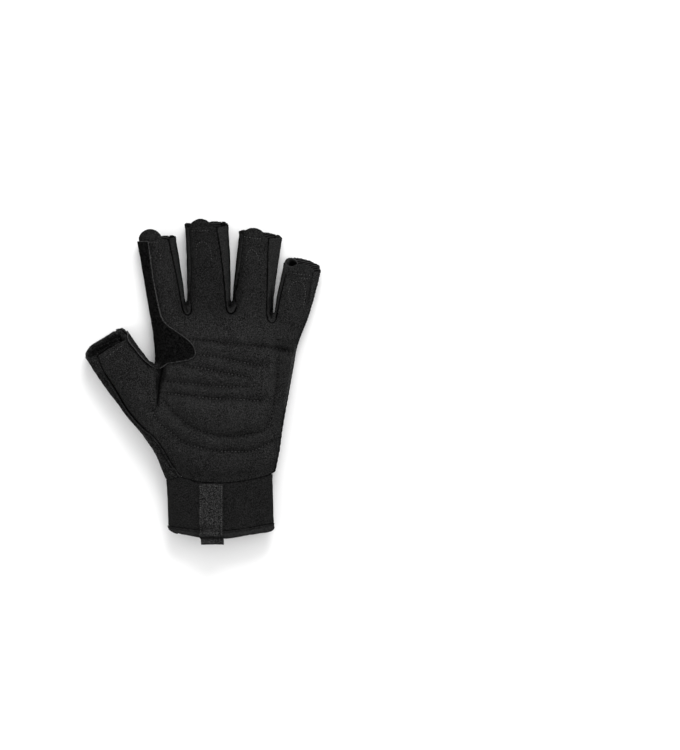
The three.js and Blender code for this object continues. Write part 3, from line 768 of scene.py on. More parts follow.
# %% Folds in the palm
DART = [(-37.0, 73.6), (-38.2, 67.0), (-39.3, 60.0), (-39.8, 53.0), (-40.3, 47.2)]
LITTLE_SEAM = [(59.2, 134.4), (58.5, 129.9), (57.5, 123.5), (56.3, 117.0), (54.7, 110.6), (53.1, 105.5)]
PALM_FOLDS = [
    # a line, how wide and how deep it is pressed, and how far it takes to fade at its ends
    (DART, 2.2, 1.3, (1, 12)),
    ([(-42.6, 72.0), (-43.4, 64.0), (-44.8, 54.0)], 2.4, -0.8, (3, 8)),
    (LITTLE_SEAM, 0.8, 0.6, (1, 10)),
    ([(-48.2, 52.4), (-47.0, 46.0), (-45.6, 40.0)], 2.6, 1.0, (4, 5)),
    ([(30.0, 86.5), (38.0, 85.0), (47.0, 82.8)], 1.2, 1.0, (6, 1)),
    ([(44.9, 134.3), (51.6, 133.6), (59.2, 132.0)], 0.7, 0.5, (1, 1)),
    ([(44.2, 131.4), (51.4, 131.2), (59.2, 130.0)], 0.7, 0.4, (1, 1)),
]
for palm_fold in PALM_FOLDS:
    dent(palm, *palm_fold)

# The dart and the little finger's seam get painted shade along their creases.
points = points_of(palm)
dart_gap, dart_run, _ = beside(points, DART)
dart_width = 0.9 + 0.6 * bell(dart_run - 11.0, 6.0)
fold = 0.66 * bell(dart_gap, dart_width) + 0.34 * bell(dart_gap, 2.6)
fold *= ease(dart_run, -1, 1) * ease(27.5 - dart_run, 0, 4)
little_gap, little_run, little_side = beside(points, LITTLE_SEAM)
little_line = 0.65 * bell(little_gap, 0.45) * ease(little_run, -0.5, 1) * ease(30 - little_run, 0, 16)
carry(palm, "fold", up * np.clip(np.maximum(fold, little_line), 0, 1))
print(len(PALM_FOLDS), "folds are pressed into the palm")

# %% [markdown]
# Needle holes follow the channels and a few plain rows of stitches, so each point is told its place
# along the nearest row, and the channels get painted shade. The palm's colour is also darker on
# the fingers, beside the thumb and at the heel, with painted shade on the sides of the fingers,
# and painted highlights on the rounded rim right of the pads and beside the little finger's seam.
# All that is one number.

# %% What the palm tells its finish
PLAIN_ROWS = [
    [(27.0, 74.5), (26.6, 63.0), (25.6, 52.0)],
    [(27.3, 98.2), (29.1, 95.9), (32.7, 94.5), (36.4, 95.4)],
    [(2.2, 98.9), (5.6, 97.9), (10.4, 98.9)],
    [(-44.2, 49.5), (-45.0, 56.0), (-46.1, 68.8)],
    [(25.2, 139.0), (25.6, 124.0), (25.5, 112.0)],
]
MIDDLE_FLANK = [(-20.8, 118.0), (-22.2, 164.0)]
RING_FLANK = [(9.0, 118.0), (11.6, 160.0)]
NO_SEAM = 3

_, row_along, row_side = beside(points, *CHANNELS, *PLAIN_ROWS)
carry(palm, "seam_along", row_along)
carry(palm, "seam_side", np.where(up > 0.3, np.clip(row_side, -NO_SEAM, NO_SEAM), NO_SEAM))
# Painted shade in the channels.
carry(palm, "pressed", up * bell(to_channel, 0.9))

x, y = points[:, 0], points[:, 1]
finger = ease(y, 92, 118)
between = ease(x, -34, -22) * (1 - ease(x, 4, 16))
brushed_and_lit = 1.0 - finger * (0.17 + 0.16 * between) - 0.18 * ease(-x, 40, 60)
brushed_and_lit -= 0.12 * ease(-y, -26, -12) + 0.12 * ease(x, 32, 37) * (1 - finger)
brushed_and_lit -= 0.1 * ease(-x - 0.6 * y, -6, 14) * ease(-y, -40, -26)
# Painted shade along the sides of the middle and ring fingers.
for flank, reach, depth in ((MIDDLE_FLANK, 3.2, 0.5), (RING_FLANK, 5.5, 0.4)):
    brushed_and_lit *= 1 - depth * bell(beside(points, flank)[0], reach)
# Painted highlights beside the little finger's seam and on the rounded rim right of the pads.
brushed_and_lit += 0.2 * bell(little_gap - 1.6, 1.2) * (little_side > 0) * ease(y, 100, 112)
right_rim = ease(y, 44, 54) * (1 - ease(y, 84, 90)) * ease(x, 38, 40)
brushed_and_lit += 0.85 * right_rim * ease(normals_of(palm)[:, 0], 0.65, 0.9)
brushed_and_lit += 0.1 * bell(x - 2, 9) * bell(y - 99, 5)
carry(palm, "brushed_and_lit", brushed_and_lit)
print("the nap is brushed from", round(float(brushed_and_lit.min()), 2), "to", round(float(brushed_and_lit.max()), 2))

# %% [markdown]
# Where neighbours meet, they have to move together. The thumb's seam bulges outwards, the sides of
# two fingers bend a little, and the gap between thumb and index finger ends higher than the frame
# has it. Each of these is one stretch that is kept by name, and every piece that touches the place
# gets the same one. The pit where that gap ends would be black, so most of it is filled.

# %% Stretches that neighbours share
THUMB_SEAM = [(-78.4, 79.6), (-75.0, 70.3), (-68.8, 59.0), (-59.6, 45.7), (-49.3, 34.5),
              (-43.2, 29.8), (-37.0, 22.1), (-31.9, 12.9), (-24.8, 3.2)]
THUMB_STRETCH = {"line": THUMB_SEAM, "shift": (1.3, 0.8), "reach": 2.1, "middle": 22.0, "spread": 13.0}
CROTCH_STRETCH = {"line": [(-42.4, 76.6), (-42.4, 70.6)], "shift": (0, 2.9), "reach": 3.0,
                  "middle": 3.0, "spread": 4.5, "top": 15.5}
RING_STRETCH = {"line": RING_FLANK, "shift": (-0.8, 0), "reach": 2.6, "middle": 6.0, "spread": 26.0}
MIDDLE_STRETCH = {"line": MIDDLE_FLANK, "shift": (-0.3, 1.5), "reach": 2.4, "middle": 46.0, "spread": 3.5}
PIT = (-41.2, 73.6)
PIT_REACH = 2.8
PIT_LEVEL = 15.4


def raise_pit(obj):
    """Fills most of the deep pit where the gap between thumb and index finger ends."""
    points = points_of(obj)
    share = 0.9 * bell(off(points, PIT), PIT_REACH) * ease(points[:, 2], 2, 7)
    points[:, 2] += share * np.clip(PIT_LEVEL - points[:, 2], 0, None)
    place_points(obj, points)


for change in (THUMB_STRETCH, RING_STRETCH, MIDDLE_STRETCH, CROTCH_STRETCH):
    stretch(palm, **change)
ease_seam(palm, (42.5, 136.5), 5.0, 0.9)
ease_seam(palm, (-61.0, 94.0), 3.0, 0.9)
raise_pit(palm)
hand_over(palm, palm_suede, "palm_suede", "palm_panel", *tongue_slides, steep=0.6 - 0.44 * right_rim)

# %% [markdown]
# The patch in the thumb crotch and the thumb's back are rough split leather. It is darker than the
# suede, with a coarse speckled nap of light fibres on black. Its raw cut edge shows as a thin
# light line, which the mesh carries as its distance to the rim, together with a few painted
# highlights. The finish also paints shade at seams, in pressed lines and inside the thumb's mouth,
# and highlights on flanks and on places that the mesh marks as lit.

# %% Rough leather


def leather_finish(name, lightness, edge_lightness):
    finish = Finish(name, 0.95, 0.0)
    nap = finish.grain(2.4, 1.0)
    fibres = finish.grain(0.55, 0.0)
    flecks = finish.grain(0.52, 0.0)
    light = fibres.ramp(0.4, 0.62) * 0.4 + flecks.ramp(0.52, 0.64) * 0.8
    light = light * (0.75 + 0.5 * nap.ramp(0.38, 0.62))
    cut = finish.own("cut_edge_and_highlight") * (0.3 + 1.3 * fibres.ramp(0.3, 0.6))
    # Painted shade at seams, pressed lines and inside the mouth; painted highlights on flanks and lit
    # places.
    shade = (1 - 0.93 * finish.own("seam")) * (1 - 0.6 * finish.own("pressed"))
    shade = shade * (1 - 0.65 * finish.own("inside")) * (1 + 0.5 * finish.own("flank") + finish.own("lit"))
    surface = finish.blend(light * shade, 0.05 * lightness, 2.2 * lightness)
    finish.feed(Base_Color=finish.blend(cut, surface, edge_lightness))
    finish.relief(nap * 0.6 + fibres * 0.5, 0.5)
    return finish.done()


patch_leather = leather_finish("patch_leather", 0.0042, 0.046)
thumb_leather = leather_finish("thumb_leather", 0.0138, 0.030)

# %% [markdown]
# The thumb's back wraps round the side of the hand. Seen from the palm side only a narrow strip of
# it shows, and the inside of its mouth. The seam to the palm is sewn twice, so a second line is
# pressed into the leather beside it, with painted shade in it. The ridge between the two lines, the
# outer rim and the mouth's corner get painted highlights. The inside of the mouth gets painted
# shade, streaked, darker the deeper it lies.

# %% The thumb's back
SECOND_SEAM = [(x - 1.4, y - 1.0) for x, y in THUMB_SEAM]
RIDGE = [(x - 0.7, y - 0.5) for x, y in THUMB_SEAM]
THUMB_MOUTH = [(-87.0, 76.0), (-86.8, 81.5), (-83.0, 86.5), (-75.5, 92.0), (-67.0, 97.4), (-61.5, 99.0)]
MOUTH_CORNER = (-63.5, 95.5)

thumb, thumb_rim = cloth_wall("thumb_leather", 0.6, 1.7, 50, "thumb_back")
points = points_of(thumb)
push(thumb, 0.4 * lumps(points, 12.0) + 0.2 * lumps(points, 3.5, 5.0) + 0.12 * lumps(points, 1.6, 9.0))
dent(thumb, SECOND_SEAM, 0.7, 0.8, fade=(14, 1))
dent(thumb, [(-41.0, 74.0), (-46.0, 64.0), (-50.0, 53.0)], 1.8, 1.6, fade=(1, 8), where=facing_down)

points = points_of(thumb)
x, y, z = points.T
up = facing_up(thumb)
rise = normals_of(thumb)[:, 2]
mouth_gap, _, into_mouth = beside(points, THUMB_MOUTH)
# Painted shade inside the mouth, darker deeper down, broken by lighter streaks.
deep = up * (1 - ease(z, 7.0, 11.0)) * ease(thumb_rim, 0.8, 2.6)
streaks = np.clip(lumps(np.column_stack([into_mouth * 2.2, x * 0.35, z]), 1.6), 0, 1)
carry(thumb, "inside", deep * np.clip(1.25 - 2.2 * streaks, 0, 1.4))
seam_gap, seam_run, _ = beside(points, SECOND_SEAM)
carry(thumb, "pressed", bell(seam_gap, 0.5) * up * ease(seam_run, 6, 16))
# Painted highlights on the outer rim, on the ridge between the two seam lines and at the mouth's corner.
outer_rim = ease(rise, -0.2, 0.1) * (1 - ease(rise, 0.3, 0.55)) * (1 - ease(y, 40, 60))
ridge = bell(beside(points, RIDGE)[0], 0.3) * up * (1 - ease(y, 36, 44))
corner = np.exp(-off(points, MOUTH_CORNER) / 3.5)
carry(thumb, "lit", 0.9 * corner + 0.5 * outer_rim + 1.2 * ridge)
mouth_line = 0.45 * bell(mouth_gap, 1.1) * (1 - ease(thumb_rim, 0.5, 1.4))
# A painted highlight along the outer rim goes in with the mouth's light cut edge.
wear_and_highlight = outer_rim * (0.6 * bell(y - 28.0, 7.0) + 0.25)
carry(thumb, "cut_edge_and_highlight", np.maximum(mouth_line, wear_and_highlight))
ease_seam(thumb, MOUTH_CORNER, 5.0, 1.0)
stretch(thumb, **THUMB_STRETCH)
stretch(thumb, **CROTCH_STRETCH)
hand_over(thumb, thumb_leather, "patch_leather", "thumb_back")

# %% [markdown]
# The patch is a thin layer of the same leather that lies on the palm. It keeps a finer remesh,
# because the eye follows its cut edge. That edge lies open, so it is let out less than a seam's
# and isn't darkened. In the pit of the thumb's gap several edges lie close together, and only one
# of them shows there as a light line.

# %% The patch along the index finger
PIT_LINE = [(-44.6, 74.6), (-43.4, 73.7), (-42.2, 73.0), (-41.0, 72.7), (-38.6, 72.7)]
PATCH_CORNER = (-41.0, 74.8)

patch, patch_rim = cloth_wall("index_patch_leather", 0.42, 1.1, 40, "index_patch", fade=(0.5, 2.5),
                              let_out=0.15)
points = points_of(patch)
push(patch, 0.25 * lumps(points, 7.0) + 0.1 * lumps(points, 1.5, 3.0))
carry(patch, "seam", 0 * patch_rim)
# A faint painted highlight lightens the side that faces the thumb, which lies in shade.
thumb_side = ease(-points[:, 0], 42, 44.5) * ease(normals_of(patch)[:, 0], 0.25, 0.5)
stretch(patch, **CROTCH_STRETCH)
raise_pit(patch)
points = points_of(patch)
off_line = bell(off(points, PIT), PIT_REACH) * (1 - bell(beside(points, PIT_LINE)[0], 0.8))
cut = (1 - ease(patch_rim, 0.25, 0.7)) * (1 - off_line)
in_corner = bell(off(points, PATCH_CORNER), 1.7)
carry(patch, "cut_edge_and_highlight", np.maximum(cut, 0.17 * np.maximum(thumb_side, in_corner)))
hand_over(patch, patch_leather, "patch_leather", "index_patch")

# %% [markdown]
# The back is a stretch knit with fine ribs that run across the hand. The ribs rise a little towards
# both sides, because the panel is pulled over the hand. Each rib is a row of short light loops
# with dark gaps, so the finish needs a place that counts ribs one way and loops the other.

# %% Rib knit
RIB_PITCH = 1.4
LOOP_LENGTH = 0.9
PATCH_LENGTH = 5.0


def knit_finish(name, lightness):
    finish = Finish(name, 0.92, 0.02)
    along = finish.own("along") + finish.grain(16.0) * 1.2
    across = finish.own("across")
    rib = along.wave(RIB_PITCH)
    loops = (across + finish.grain(2.5) * 1.5).wave(LOOP_LENGTH)
    patches = finish.grain(1.0, 1.0, finish.vector(across * (1 / PATCH_LENGTH), along * (1 / RIB_PITCH)))
    strands = finish.grain(0.45, 1.0)
    light = rib ** 1.2 * (0.55 + 0.35 * loops + 0.6 * patches.ramp(0.35, 0.65)) * (0.35 + 1.2 * strands)
    # Painted shade at the seams.
    shade = 1 - 0.8 * finish.own("seam")
    finish.feed(Base_Color=finish.blend(light * shade, 0.12 * lightness, 2.8 * lightness))
    finish.relief(rib * (0.7 + 0.3 * loops) + strands * 0.15, 0.35)
    return finish.done()


rib_knit = knit_finish("rib_knit", 0.0112)

# %% [markdown]
# The knit panel is the whole back of the glove, which lies on the table. Its ribs bow towards the
# wrist in the middle, which the piece carries as a place that the finish counts ribs by. A few
# shallow folds run across it. Where the fingers close, the end of each gap between them is drawn
# in towards the hand, and the strips between the fingers will be drawn in with it.

# %% The knit back
GAP_ENDS = {
    # where the gap between two fingers ends, how far it is drawn in, and how wide a stretch that takes
    "index_middle": {"place": (-21.7, 118.0), "draw": 2.4, "reach": 2.4},
    "middle_ring": {"place": (6.3, 118.2), "draw": 3.4, "reach": 2.4},
    "ring_little": {"place": (33.3, 113.4), "draw": 6.6, "reach": 1.9},
}
KNIT_FOLDS = [
    [(-33.0, 97.0), (-14.0, 96.0), (6.0, 94.6), (26.0, 95.4)],
    [(30.0, 58.0), (38.0, 53.6), (47.0, 50.4)],
    [(34.6, 30.6), (38.4, 24.0), (40.4, 15.4)],
    [(-31.0, 62.0), (-24.0, 56.0), (-15.0, 53.0)],
]


def draw_in(obj, pair):
    """Draws the end of the gap between two fingers in towards the hand."""
    gap = GAP_ENDS[pair]
    x, y = gap["place"]
    stretch(obj, [(x, y + 2), (x, y - 2)], (0, -gap["draw"]), gap["reach"], 2.0, 4.5)


knit, _ = cloth_wall("knit_back", 0.66, 1.7, 50, "back_panel")
points = points_of(knit)
x, y, z = points.T
bow = 0.17 * np.logaddexp(0, (-12 - x) / 5) * 5 + 0.2 * np.logaddexp(0, (x - 26) / 5) * 5
carry(knit, "along", y - bow)
carry(knit, "across", x)
push(knit, 0.25 * lumps(points, 18.0) * ease(z, 0.4, 1.5))
for knit_fold in KNIT_FOLDS:
    dent(knit, knit_fold, 1.5, 0.5, where=facing_down)
for change in (RING_STRETCH, MIDDLE_STRETCH, CROTCH_STRETCH):
    stretch(knit, **change)
for pair in GAP_ENDS:
    draw_in(knit, pair)
hand_over(knit, rib_knit, "rib_knit", "back_panel")

# %% [markdown]
# The strips between the fingers, the cuff and the bindings are smooth stretch cloths. They differ
# in how light they are and in the size of their fine weave, so one function makes them all. The
# strap's moulded skin is nearly even, and is made by the same function with little contrast.

# %% Smooth cloths


def smooth_cloth(name, lightness, thread, contrast, side=0.35, specular=0.02, roughness=0.9):
    finish = Finish(name, roughness, specular)
    weave = finish.grain(thread, 2.0)
    speck = finish.grain(0.5, 0.0)
    cloud = finish.grain(8.0, 1.0)
    light = weave.ramp(0.36, 0.64) * 0.4 + speck.ramp(0.4, 0.64) * 0.6 + cloud.ramp(0.3, 0.7) * 0.05
    # Painted shade at seams, in pressed lines, on flanks by side and where the mesh marks shade; the last
    # number blends in a painted highlight.
    shade = (1 - 0.95 * finish.own("seam")) * (1 - 0.6 * finish.own("pressed"))
    shade = shade * (1 - side * finish.own("flank")) * (1 - finish.own("shaded"))
    surface = finish.blend(light, (1 - contrast) * lightness, (1 + contrast) * lightness)
    dark = finish.blend(shade, 0.0, surface)
    finish.feed(Base_Color=finish.blend(finish.own("painted_highlight"), dark, 0.05))
    finish.relief(weave * 0.6 + speck * 0.3, 0.14)
    return finish.done()


stretch_cloth = smooth_cloth("stretch_cloth", 0.0145, 0.45, 0.7, side=0.92)
cuff_cloth = smooth_cloth("cuff_neoprene", 0.0093, 0.4, 0.95)
binding_tape = smooth_cloth("binding_tape", 0.0150, 0.4, 0.7, side=0.2)
strap_cloth = smooth_cloth("strap_cloth", 0.0100, 0.5, 0.5)
overlay_rubber = smooth_cloth("overlay_rubber", 0.0320, 0.3, 0.12, specular=0.15, roughness=0.6)

# %% [markdown]
# Each strip runs down one finger, round the crotch and up the next finger. At the crotch it folds
# shut when the fingers close, so a deep line is pressed in below the gap's end, with painted shade
# in it. The strips' sides turn under the palm's edge, so they get painted shade. Seen from the back
# the strips are the lightest part of the fingers, so their undersides get no painted shade and,
# towards the tips, a painted highlight.

# %% The strips between the fingers
CREASES = {
    # the crease below the gap's end and the width of its painted shade, the painted shade of the side
    # that turns under the palm, and where the seam's painted shade is softer
    "index_middle": {"line": [(-21.9, 116.5), (-22.1, 111.9), (-21.2, 108.7)], "width": 0.45,
                     "shade": 0.3, "soft_seams": [((-19.6, 123.5), 6.5, 0.6)]},
    "middle_ring": {"line": [(6.8, 116.6), (6.3, 113.6), (6.3, 111.6)], "width": 0.6,
                    "shade": 0.5, "soft_seams": []},
    "ring_little": {"line": [(33.9, 110.6), (33.2, 107.8), (32.6, 105.2)], "width": 0.5,
                    "shade": 0.75, "soft_seams": [((42.5, 136.5), 6.0, 0.9)]},
}

for pair, crease in CREASES.items():
    strip, strip_rim = cloth_wall("side_strip_" + pair, 0.5, 1.7, 40, "fourchette_" + pair)
    push(strip, 0.2 * lumps(points_of(strip), 6.0) * ease(strip_rim, 0.5, 2.0))
    for change in (RING_STRETCH, MIDDLE_STRETCH):
        stretch(strip, **change)
    gap_x, gap_y = GAP_ENDS[pair]["place"]
    draw_in(strip, pair)
    if pair != "ring_little":
        stretch(strip, [(gap_x + 3.0, gap_y - 2), (gap_x + 3.0, gap_y - 6)], (0.6, 0), 1.2, 2.0, 3.0)
    dent(strip, crease["line"], 1.0, 1.0, fade=(1, 1.5))
    x, y, z = points_of(strip).T
    turned, _, rise = normals_of(strip).T
    crease_gap = beside(points_of(strip), crease["line"])[0]
    # Painted shade in the crease below the gap's end.
    carry(strip, "pressed", 1.6 * bell(crease_gap, crease["width"]) * facing_up(strip))
    if pair == "ring_little":
        shaded = (x < gap_x) * ease(turned, 0.55, 0.8)
        steep = np.where(x > gap_x, 0.2, 0.85)
    else:
        shaded = ease(-turned, 0.1, 0.4) * ease(y - gap_y, -6, 2)
        steep = 0.5 + 0.35 * ease(y - gap_y, 2, 16)
    # Painted shade on the side that turns under the palm, none on the underside, and a painted highlight on
    # the underside towards the tips.
    carry(strip, "shaded", crease["shade"] * shaded * (1 - facing_down(strip)))
    carry(strip, "painted_highlight", 0.45 * ease(-rise, -0.1, 0.3) * ease(y - gap_y, -4, 10))
    for place, reach, share in crease["soft_seams"]:
        ease_seam(strip, place, reach, share)
    hand_over(strip, stretch_cloth, "stretch_cloth", "fourchette_" + pair, steep=steep)

# %% [markdown]
# At its inner side the little finger's mouth stays open as a small round hole beside the folded
# tongue, where the strip curls into a tube. The tube is a cylinder without ends. Its points are
# placed by their angle and their place along it, so that its mouth comes out cut on a slant.

# %% The little finger's open corner
ROLL_MOUTH = np.array([45.4, 141.0, 6.6])
ROLL_AHEAD = np.array([-0.22, -0.975, 0.0])
ROLL_ACROSS = np.array([0.975, -0.22, 0.0])
ROLL_HALF_WIDTH = 4.3
ROLL_HALF_HEIGHT = 4.4
ROLL_SLANT = 2.7
ROLL_LENGTH = 8.0
ROLL_WALL = 0.7

bpy.ops.object.select_all(action="DESELECT")
bpy.ops.mesh.primitive_cylinder_add(vertices=32, radius=1, depth=1, end_fill_type="NOTHING")
roll = bpy.context.object
roll.name = "little_mouth_roll"
bpy.ops.object.mode_set(mode="EDIT")
bpy.ops.mesh.select_all(action="SELECT")
bpy.ops.mesh.subdivide(number_cuts=3)
bpy.ops.object.mode_set(mode="OBJECT")
unit = read(roll.data.vertices, "co").astype(float)
angle = np.arctan2(unit[:, 1], unit[:, 0])[:, None]
down = (0.5 - unit[:, 2:]) * ROLL_LENGTH
roll_points = ROLL_MOUTH - ROLL_ACROSS * ROLL_HALF_WIDTH * np.cos(angle)
roll_points = roll_points + ROLL_AHEAD * (down + ROLL_SLANT * np.sin(angle))
roll_points[:, 2:] += ROLL_HALF_HEIGHT * np.sin(angle)
place_points(roll, roll_points)
apply_modifier(roll, "SOLIDIFY", thickness=ROLL_WALL * MM, offset=-1.0)
apply_modifier(roll, "SUBSURF", levels=1, render_levels=1)

from_mouth = points_of(roll) - ROLL_MOUTH
depth = from_mouth @ ROLL_AHEAD - ROLL_SLANT * from_mouth[:, 2] / ROLL_HALF_HEIGHT
# A painted highlight on the roll's rim, and painted shade in its hollow that darkens towards the lower
# right.
carry(roll, "painted_highlight", 0.55 * (1 - ease(depth, 0.15, 0.5)))
from_axis = from_mouth - (from_mouth @ ROLL_AHEAD)[:, None] * ROLL_AHEAD
inward = -(normals_of(roll) * from_axis).sum(axis=1) / np.linalg.norm(from_axis, axis=1)
towards_dark = from_mouth @ (0.75 * ROLL_ACROSS + 0.65 * ROLL_AHEAD)
hollow = ease(inward, 0, 0.5) * ease(depth, 0.3, 1.0)
carry(roll, "shaded", hollow * (0.3 + 0.68 * ease(towards_dark, -2.6, 0.8)))
push(roll, 0.12 * lumps(points_of(roll), 2.5))
hand_over(roll, stretch_cloth, "stretch_cloth")

# %% [markdown]
# The cuff is a smooth band of faced foam. Its hem and the edge of the slit are bound with a folded
# tape, which is soft and round, and a row of stitches presses a line into it beside its inner edge,
# with painted shade in the line.
# A profile swept along the edge would leave the wall, so all three start from the frame's walls.

# %% The cuff, its hem and the slit
HEM_SEAM = [(-40, -25.6), (-34, -27.8), (-17, -30.4), (0, -31.2), (17, -29.4), (34, -26.2), (40, -24.6)]
HEM_STITCH = [(x, y - 1.2) for x, y in HEM_SEAM]
SLIT_ROWS = [
    [(-29.2, 3.0), (-29.4, 18.6), (-27.8, 21.4), (-25.0, 21.8), (-22.8, 20.0), (-22.6, 15.0), (-22.8, 4.4)],
    [(-31.6, -2.0), (-31.6, -32.0)],
    [(-26.2, -1.0), (-26.2, -32.6)],
]

cuff, cuff_rim = cloth_wall("cuff_band", 0.6, 1.7, 50, "cuff")
push(cuff, 0.25 * lumps(points_of(cuff), 14.0) * ease(cuff_rim, 0.5, 3.0))
stretch(cuff, [(-28.6, 2.4), (-23.6, 2.4)], (0, 0.7), 1.3, 2.5, 2.5)
hand_over(cuff, cuff_cloth, "cuff_neoprene", "cuff")

hem, hem_rim = cloth_wall("cuff_hem", 0.5, 1.7, 24, "cuff_binding")
points = points_of(hem)
low = ease(points[:, 1], -29.0, -35.0)
corners = ease(np.abs(points[:, 0] + 1.5), 8, 20) * (1 - ease(points[:, 0], 26, 34))
points[:, 1] += 0.9 * low * corners
place_points(hem, points)
hem_gap = beside(points_of(hem), HEM_STITCH)[0]
push(hem, 0.45 * ease(hem_gap, 0.2, 1.6) * ease(hem_rim, 0.2, 1.5))
push(hem, 0.12 * lumps(points_of(hem), 2.6))
# Painted shade in the stitched line.
carry(hem, "pressed", bell(hem_gap, 0.5))
hand_over(hem, binding_tape, "binding_tape", "cuff_binding")

slit, _ = cloth_wall("slit_edge", 0.42, 2.7, 20, "slit_binding")
slit_gap = beside(points_of(slit), *SLIT_ROWS)[0]
push(slit, -0.4 * bell(slit_gap, 0.6) * facing_down(slit))
# Painted shade in the stitched lines on the back.
carry(slit, "pressed", bell(slit_gap, 0.5) * facing_down(slit))
hand_over(slit, binding_tape, "binding_tape", "slit_binding")

# %% [markdown]
# The strap closes the cuff on the back. It is a stiff strip with a moulded grey skin whose edge is
# a fine raised line, with a groove between it and the strap's own rim. The groove gets painted
# shade, and the raised line and the strap's rim get painted highlights. An inset and a bevel
# would make such an edge on a flat plate, but the remeshed skin already knows how far each point is
# from its rim, so the line is pushed up where that distance is right.

# %% The strap and its skin
SKIN_LINE = 1.1
SKIN_EDGE = (0.3, 0.8)

strap, strap_rim = cloth_wall("strap", 0.4, 1.2, 20, "closure_strap", let_out=0.1)
carry(strap, "seam", 0 * strap_rim)
# A painted highlight along the strap's rim.
carry(strap, "painted_highlight", 0.8 * (1 - ease(strap_rim, 0.4, 0.8)))
hand_over(strap, strap_cloth, "strap_cloth", "closure_strap")

skin, skin_rim = cloth_wall("strap_skin", 0.36, 0.9, 20, "strap_overlay", let_out=0.0)
skin_groove = 1 - ease(skin_rim, *SKIN_EDGE)
push(skin, facing_down(skin) * (0.22 * bell(skin_rim - SKIN_LINE, 0.4) - 0.25 * skin_groove))
carry(skin, "seam", 0 * skin_rim)
# Painted shade in the groove and a painted highlight on the raised line.
carry(skin, "pressed", skin_groove)
carry(skin, "painted_highlight", 0.7 * bell(skin_rim - SKIN_LINE - 0.05, 0.35))
hand_over(skin, overlay_rubber, "overlay_rubber", "strap_overlay")

# %% [markdown]
# The webbing's weave shows as short light dashes that slant both ways, one set for each way that
# its threads run. A picture of a weave would do it too, but two stretched noises need no file and
# stay sharp at any size. It follows two numbers of the ribbon, how far along and how far across.

# %% Webbing finish
PICK_LENGTH = 1.8
PICK_WIDTH = 0.56


def webbing_finish(name, lightness):
    finish = Finish(name, 0.85, 0.05)
    along = finish.own("along")
    across = finish.own("across")
    left, right = across + along, across - along
    long, short = 1 / PICK_LENGTH, 1 / PICK_WIDTH
    left_picks = finish.grain(1.0, 0.0, finish.vector(left * long, right * short))
    right_picks = finish.grain(1.0, 0.0, finish.vector(left * short, right * long, 5.0))
    speck = finish.grain(0.5, 0.0)
    light = left_picks.ramp(0.55, 0.61) * 0.5 + right_picks.ramp(0.55, 0.61) * 0.4
    light = light + speck.ramp(0.58, 0.64) * 0.6
    # Painted shade in pressed lines, at the hem and along the fold, and on flanks.
    shade = (1 - 0.85 * finish.own("pressed")) * (1 - 0.3 * finish.own("flank"))
    thread = finish.blend(light, 0.04 * lightness, 6.2 * lightness)
    finish.feed(Base_Color=finish.blend(shade, 0.0, thread))
    finish.relief(left_picks * 0.5 + right_picks * 0.5, 0.4)
    return finish.done()


loop_webbing = webbing_finish("loop_webbing", 0.0080)

# %% [markdown]
# The webbing is a woven strip that is sewn over the cuff and folded back under the hem as a small
# loop. A remesh would round it off like dough, so it is modelled directly: a thin ribbon of
# squares follows the cuff down, turns over its fold, and comes back underneath. Rays find the cuff
# below each point of the long part, and past the hem the rows turn round a small circle.

# %% The webbing's rows
WEBBING_LEFT, WEBBING_RIGHT = -13.6, 1.8
WEBBING_TOP, WEBBING_LOW = -1.2, -34.2
WEBBING_THICK = 1.1
WEBBING_STEP = 0.45
HEM_LIFT = 0.5
FOLD_Y = -37.9
FOLD_RADIUS = 1.55
FOLD_RISE = 0.2
FOLD_EASE = 3.0
RETURN_Y = -36.6

cuff_surface = [tree_of(cuff), tree_of(hem)]


def top_of(x, y, trees):
    """The height of the highest of some surfaces at a place in plan."""
    origin = Vector(np.array([x, y, 60.0]) * MM + drawing_zero)
    hits = [tree.ray_cast(origin, Vector((0, 0, -1)))[0] for tree in trees]
    return max(hit.z for hit in hits if hit) / MM


across = np.arange(WEBBING_LEFT, WEBBING_RIGHT + 0.01, WEBBING_STEP)
rows = np.arange(WEBBING_TOP, WEBBING_LOW, -WEBBING_STEP)
laid = np.array([[top_of(x, y, cuff_surface) for x in across] for y in rows]) + WEBBING_THICK / 2 + 0.1
laid += HEM_LIFT * ease(-rows, 29.0, 32.0)[:, None]
top_z = laid[-1].mean()
stations = [(y, row) for y, row in zip(rows, laid)]
for y in np.arange(rows[-1] - WEBBING_STEP, FOLD_Y, -WEBBING_STEP):
    share = ease(rows[-1] - y, 0, FOLD_EASE)
    stations.append((y, laid[-1] * (1 - share) + (top_z + FOLD_RISE) * share))
for angle in np.radians(np.linspace(90, 270, 12)):
    height = top_z + FOLD_RISE - FOLD_RADIUS + FOLD_RADIUS * math.sin(angle)
    stations.append((FOLD_Y + FOLD_RADIUS * math.cos(angle), np.full(len(across), height)))
for y in np.arange(FOLD_Y + WEBBING_STEP, RETURN_Y + 0.01, WEBBING_STEP):
    stations.append((y, stations[-1][1]))
print("the webbing is laid in", len(stations), "rows of", len(across), "points")

# %% [markdown]
# Below the hem the webbing is a little narrower and shifted, as it was pulled when it was sewn. It
# carries dark lines along its selvedges, a painted shadow at the hem and painted shade along its
# fold. The ribbon gets its thickness from Solidify and its soft edge from Bevel.

# %% The webbing and its loop
SELVEDGE = 1.1


def new_piece(name, points, faces):
    """A new object from points in the drawing's millimetres."""
    mesh = bpy.data.meshes.new(name)
    mesh.from_pydata([tuple(p) for p in points * MM + drawing_zero], [], faces)
    return put(name, mesh)


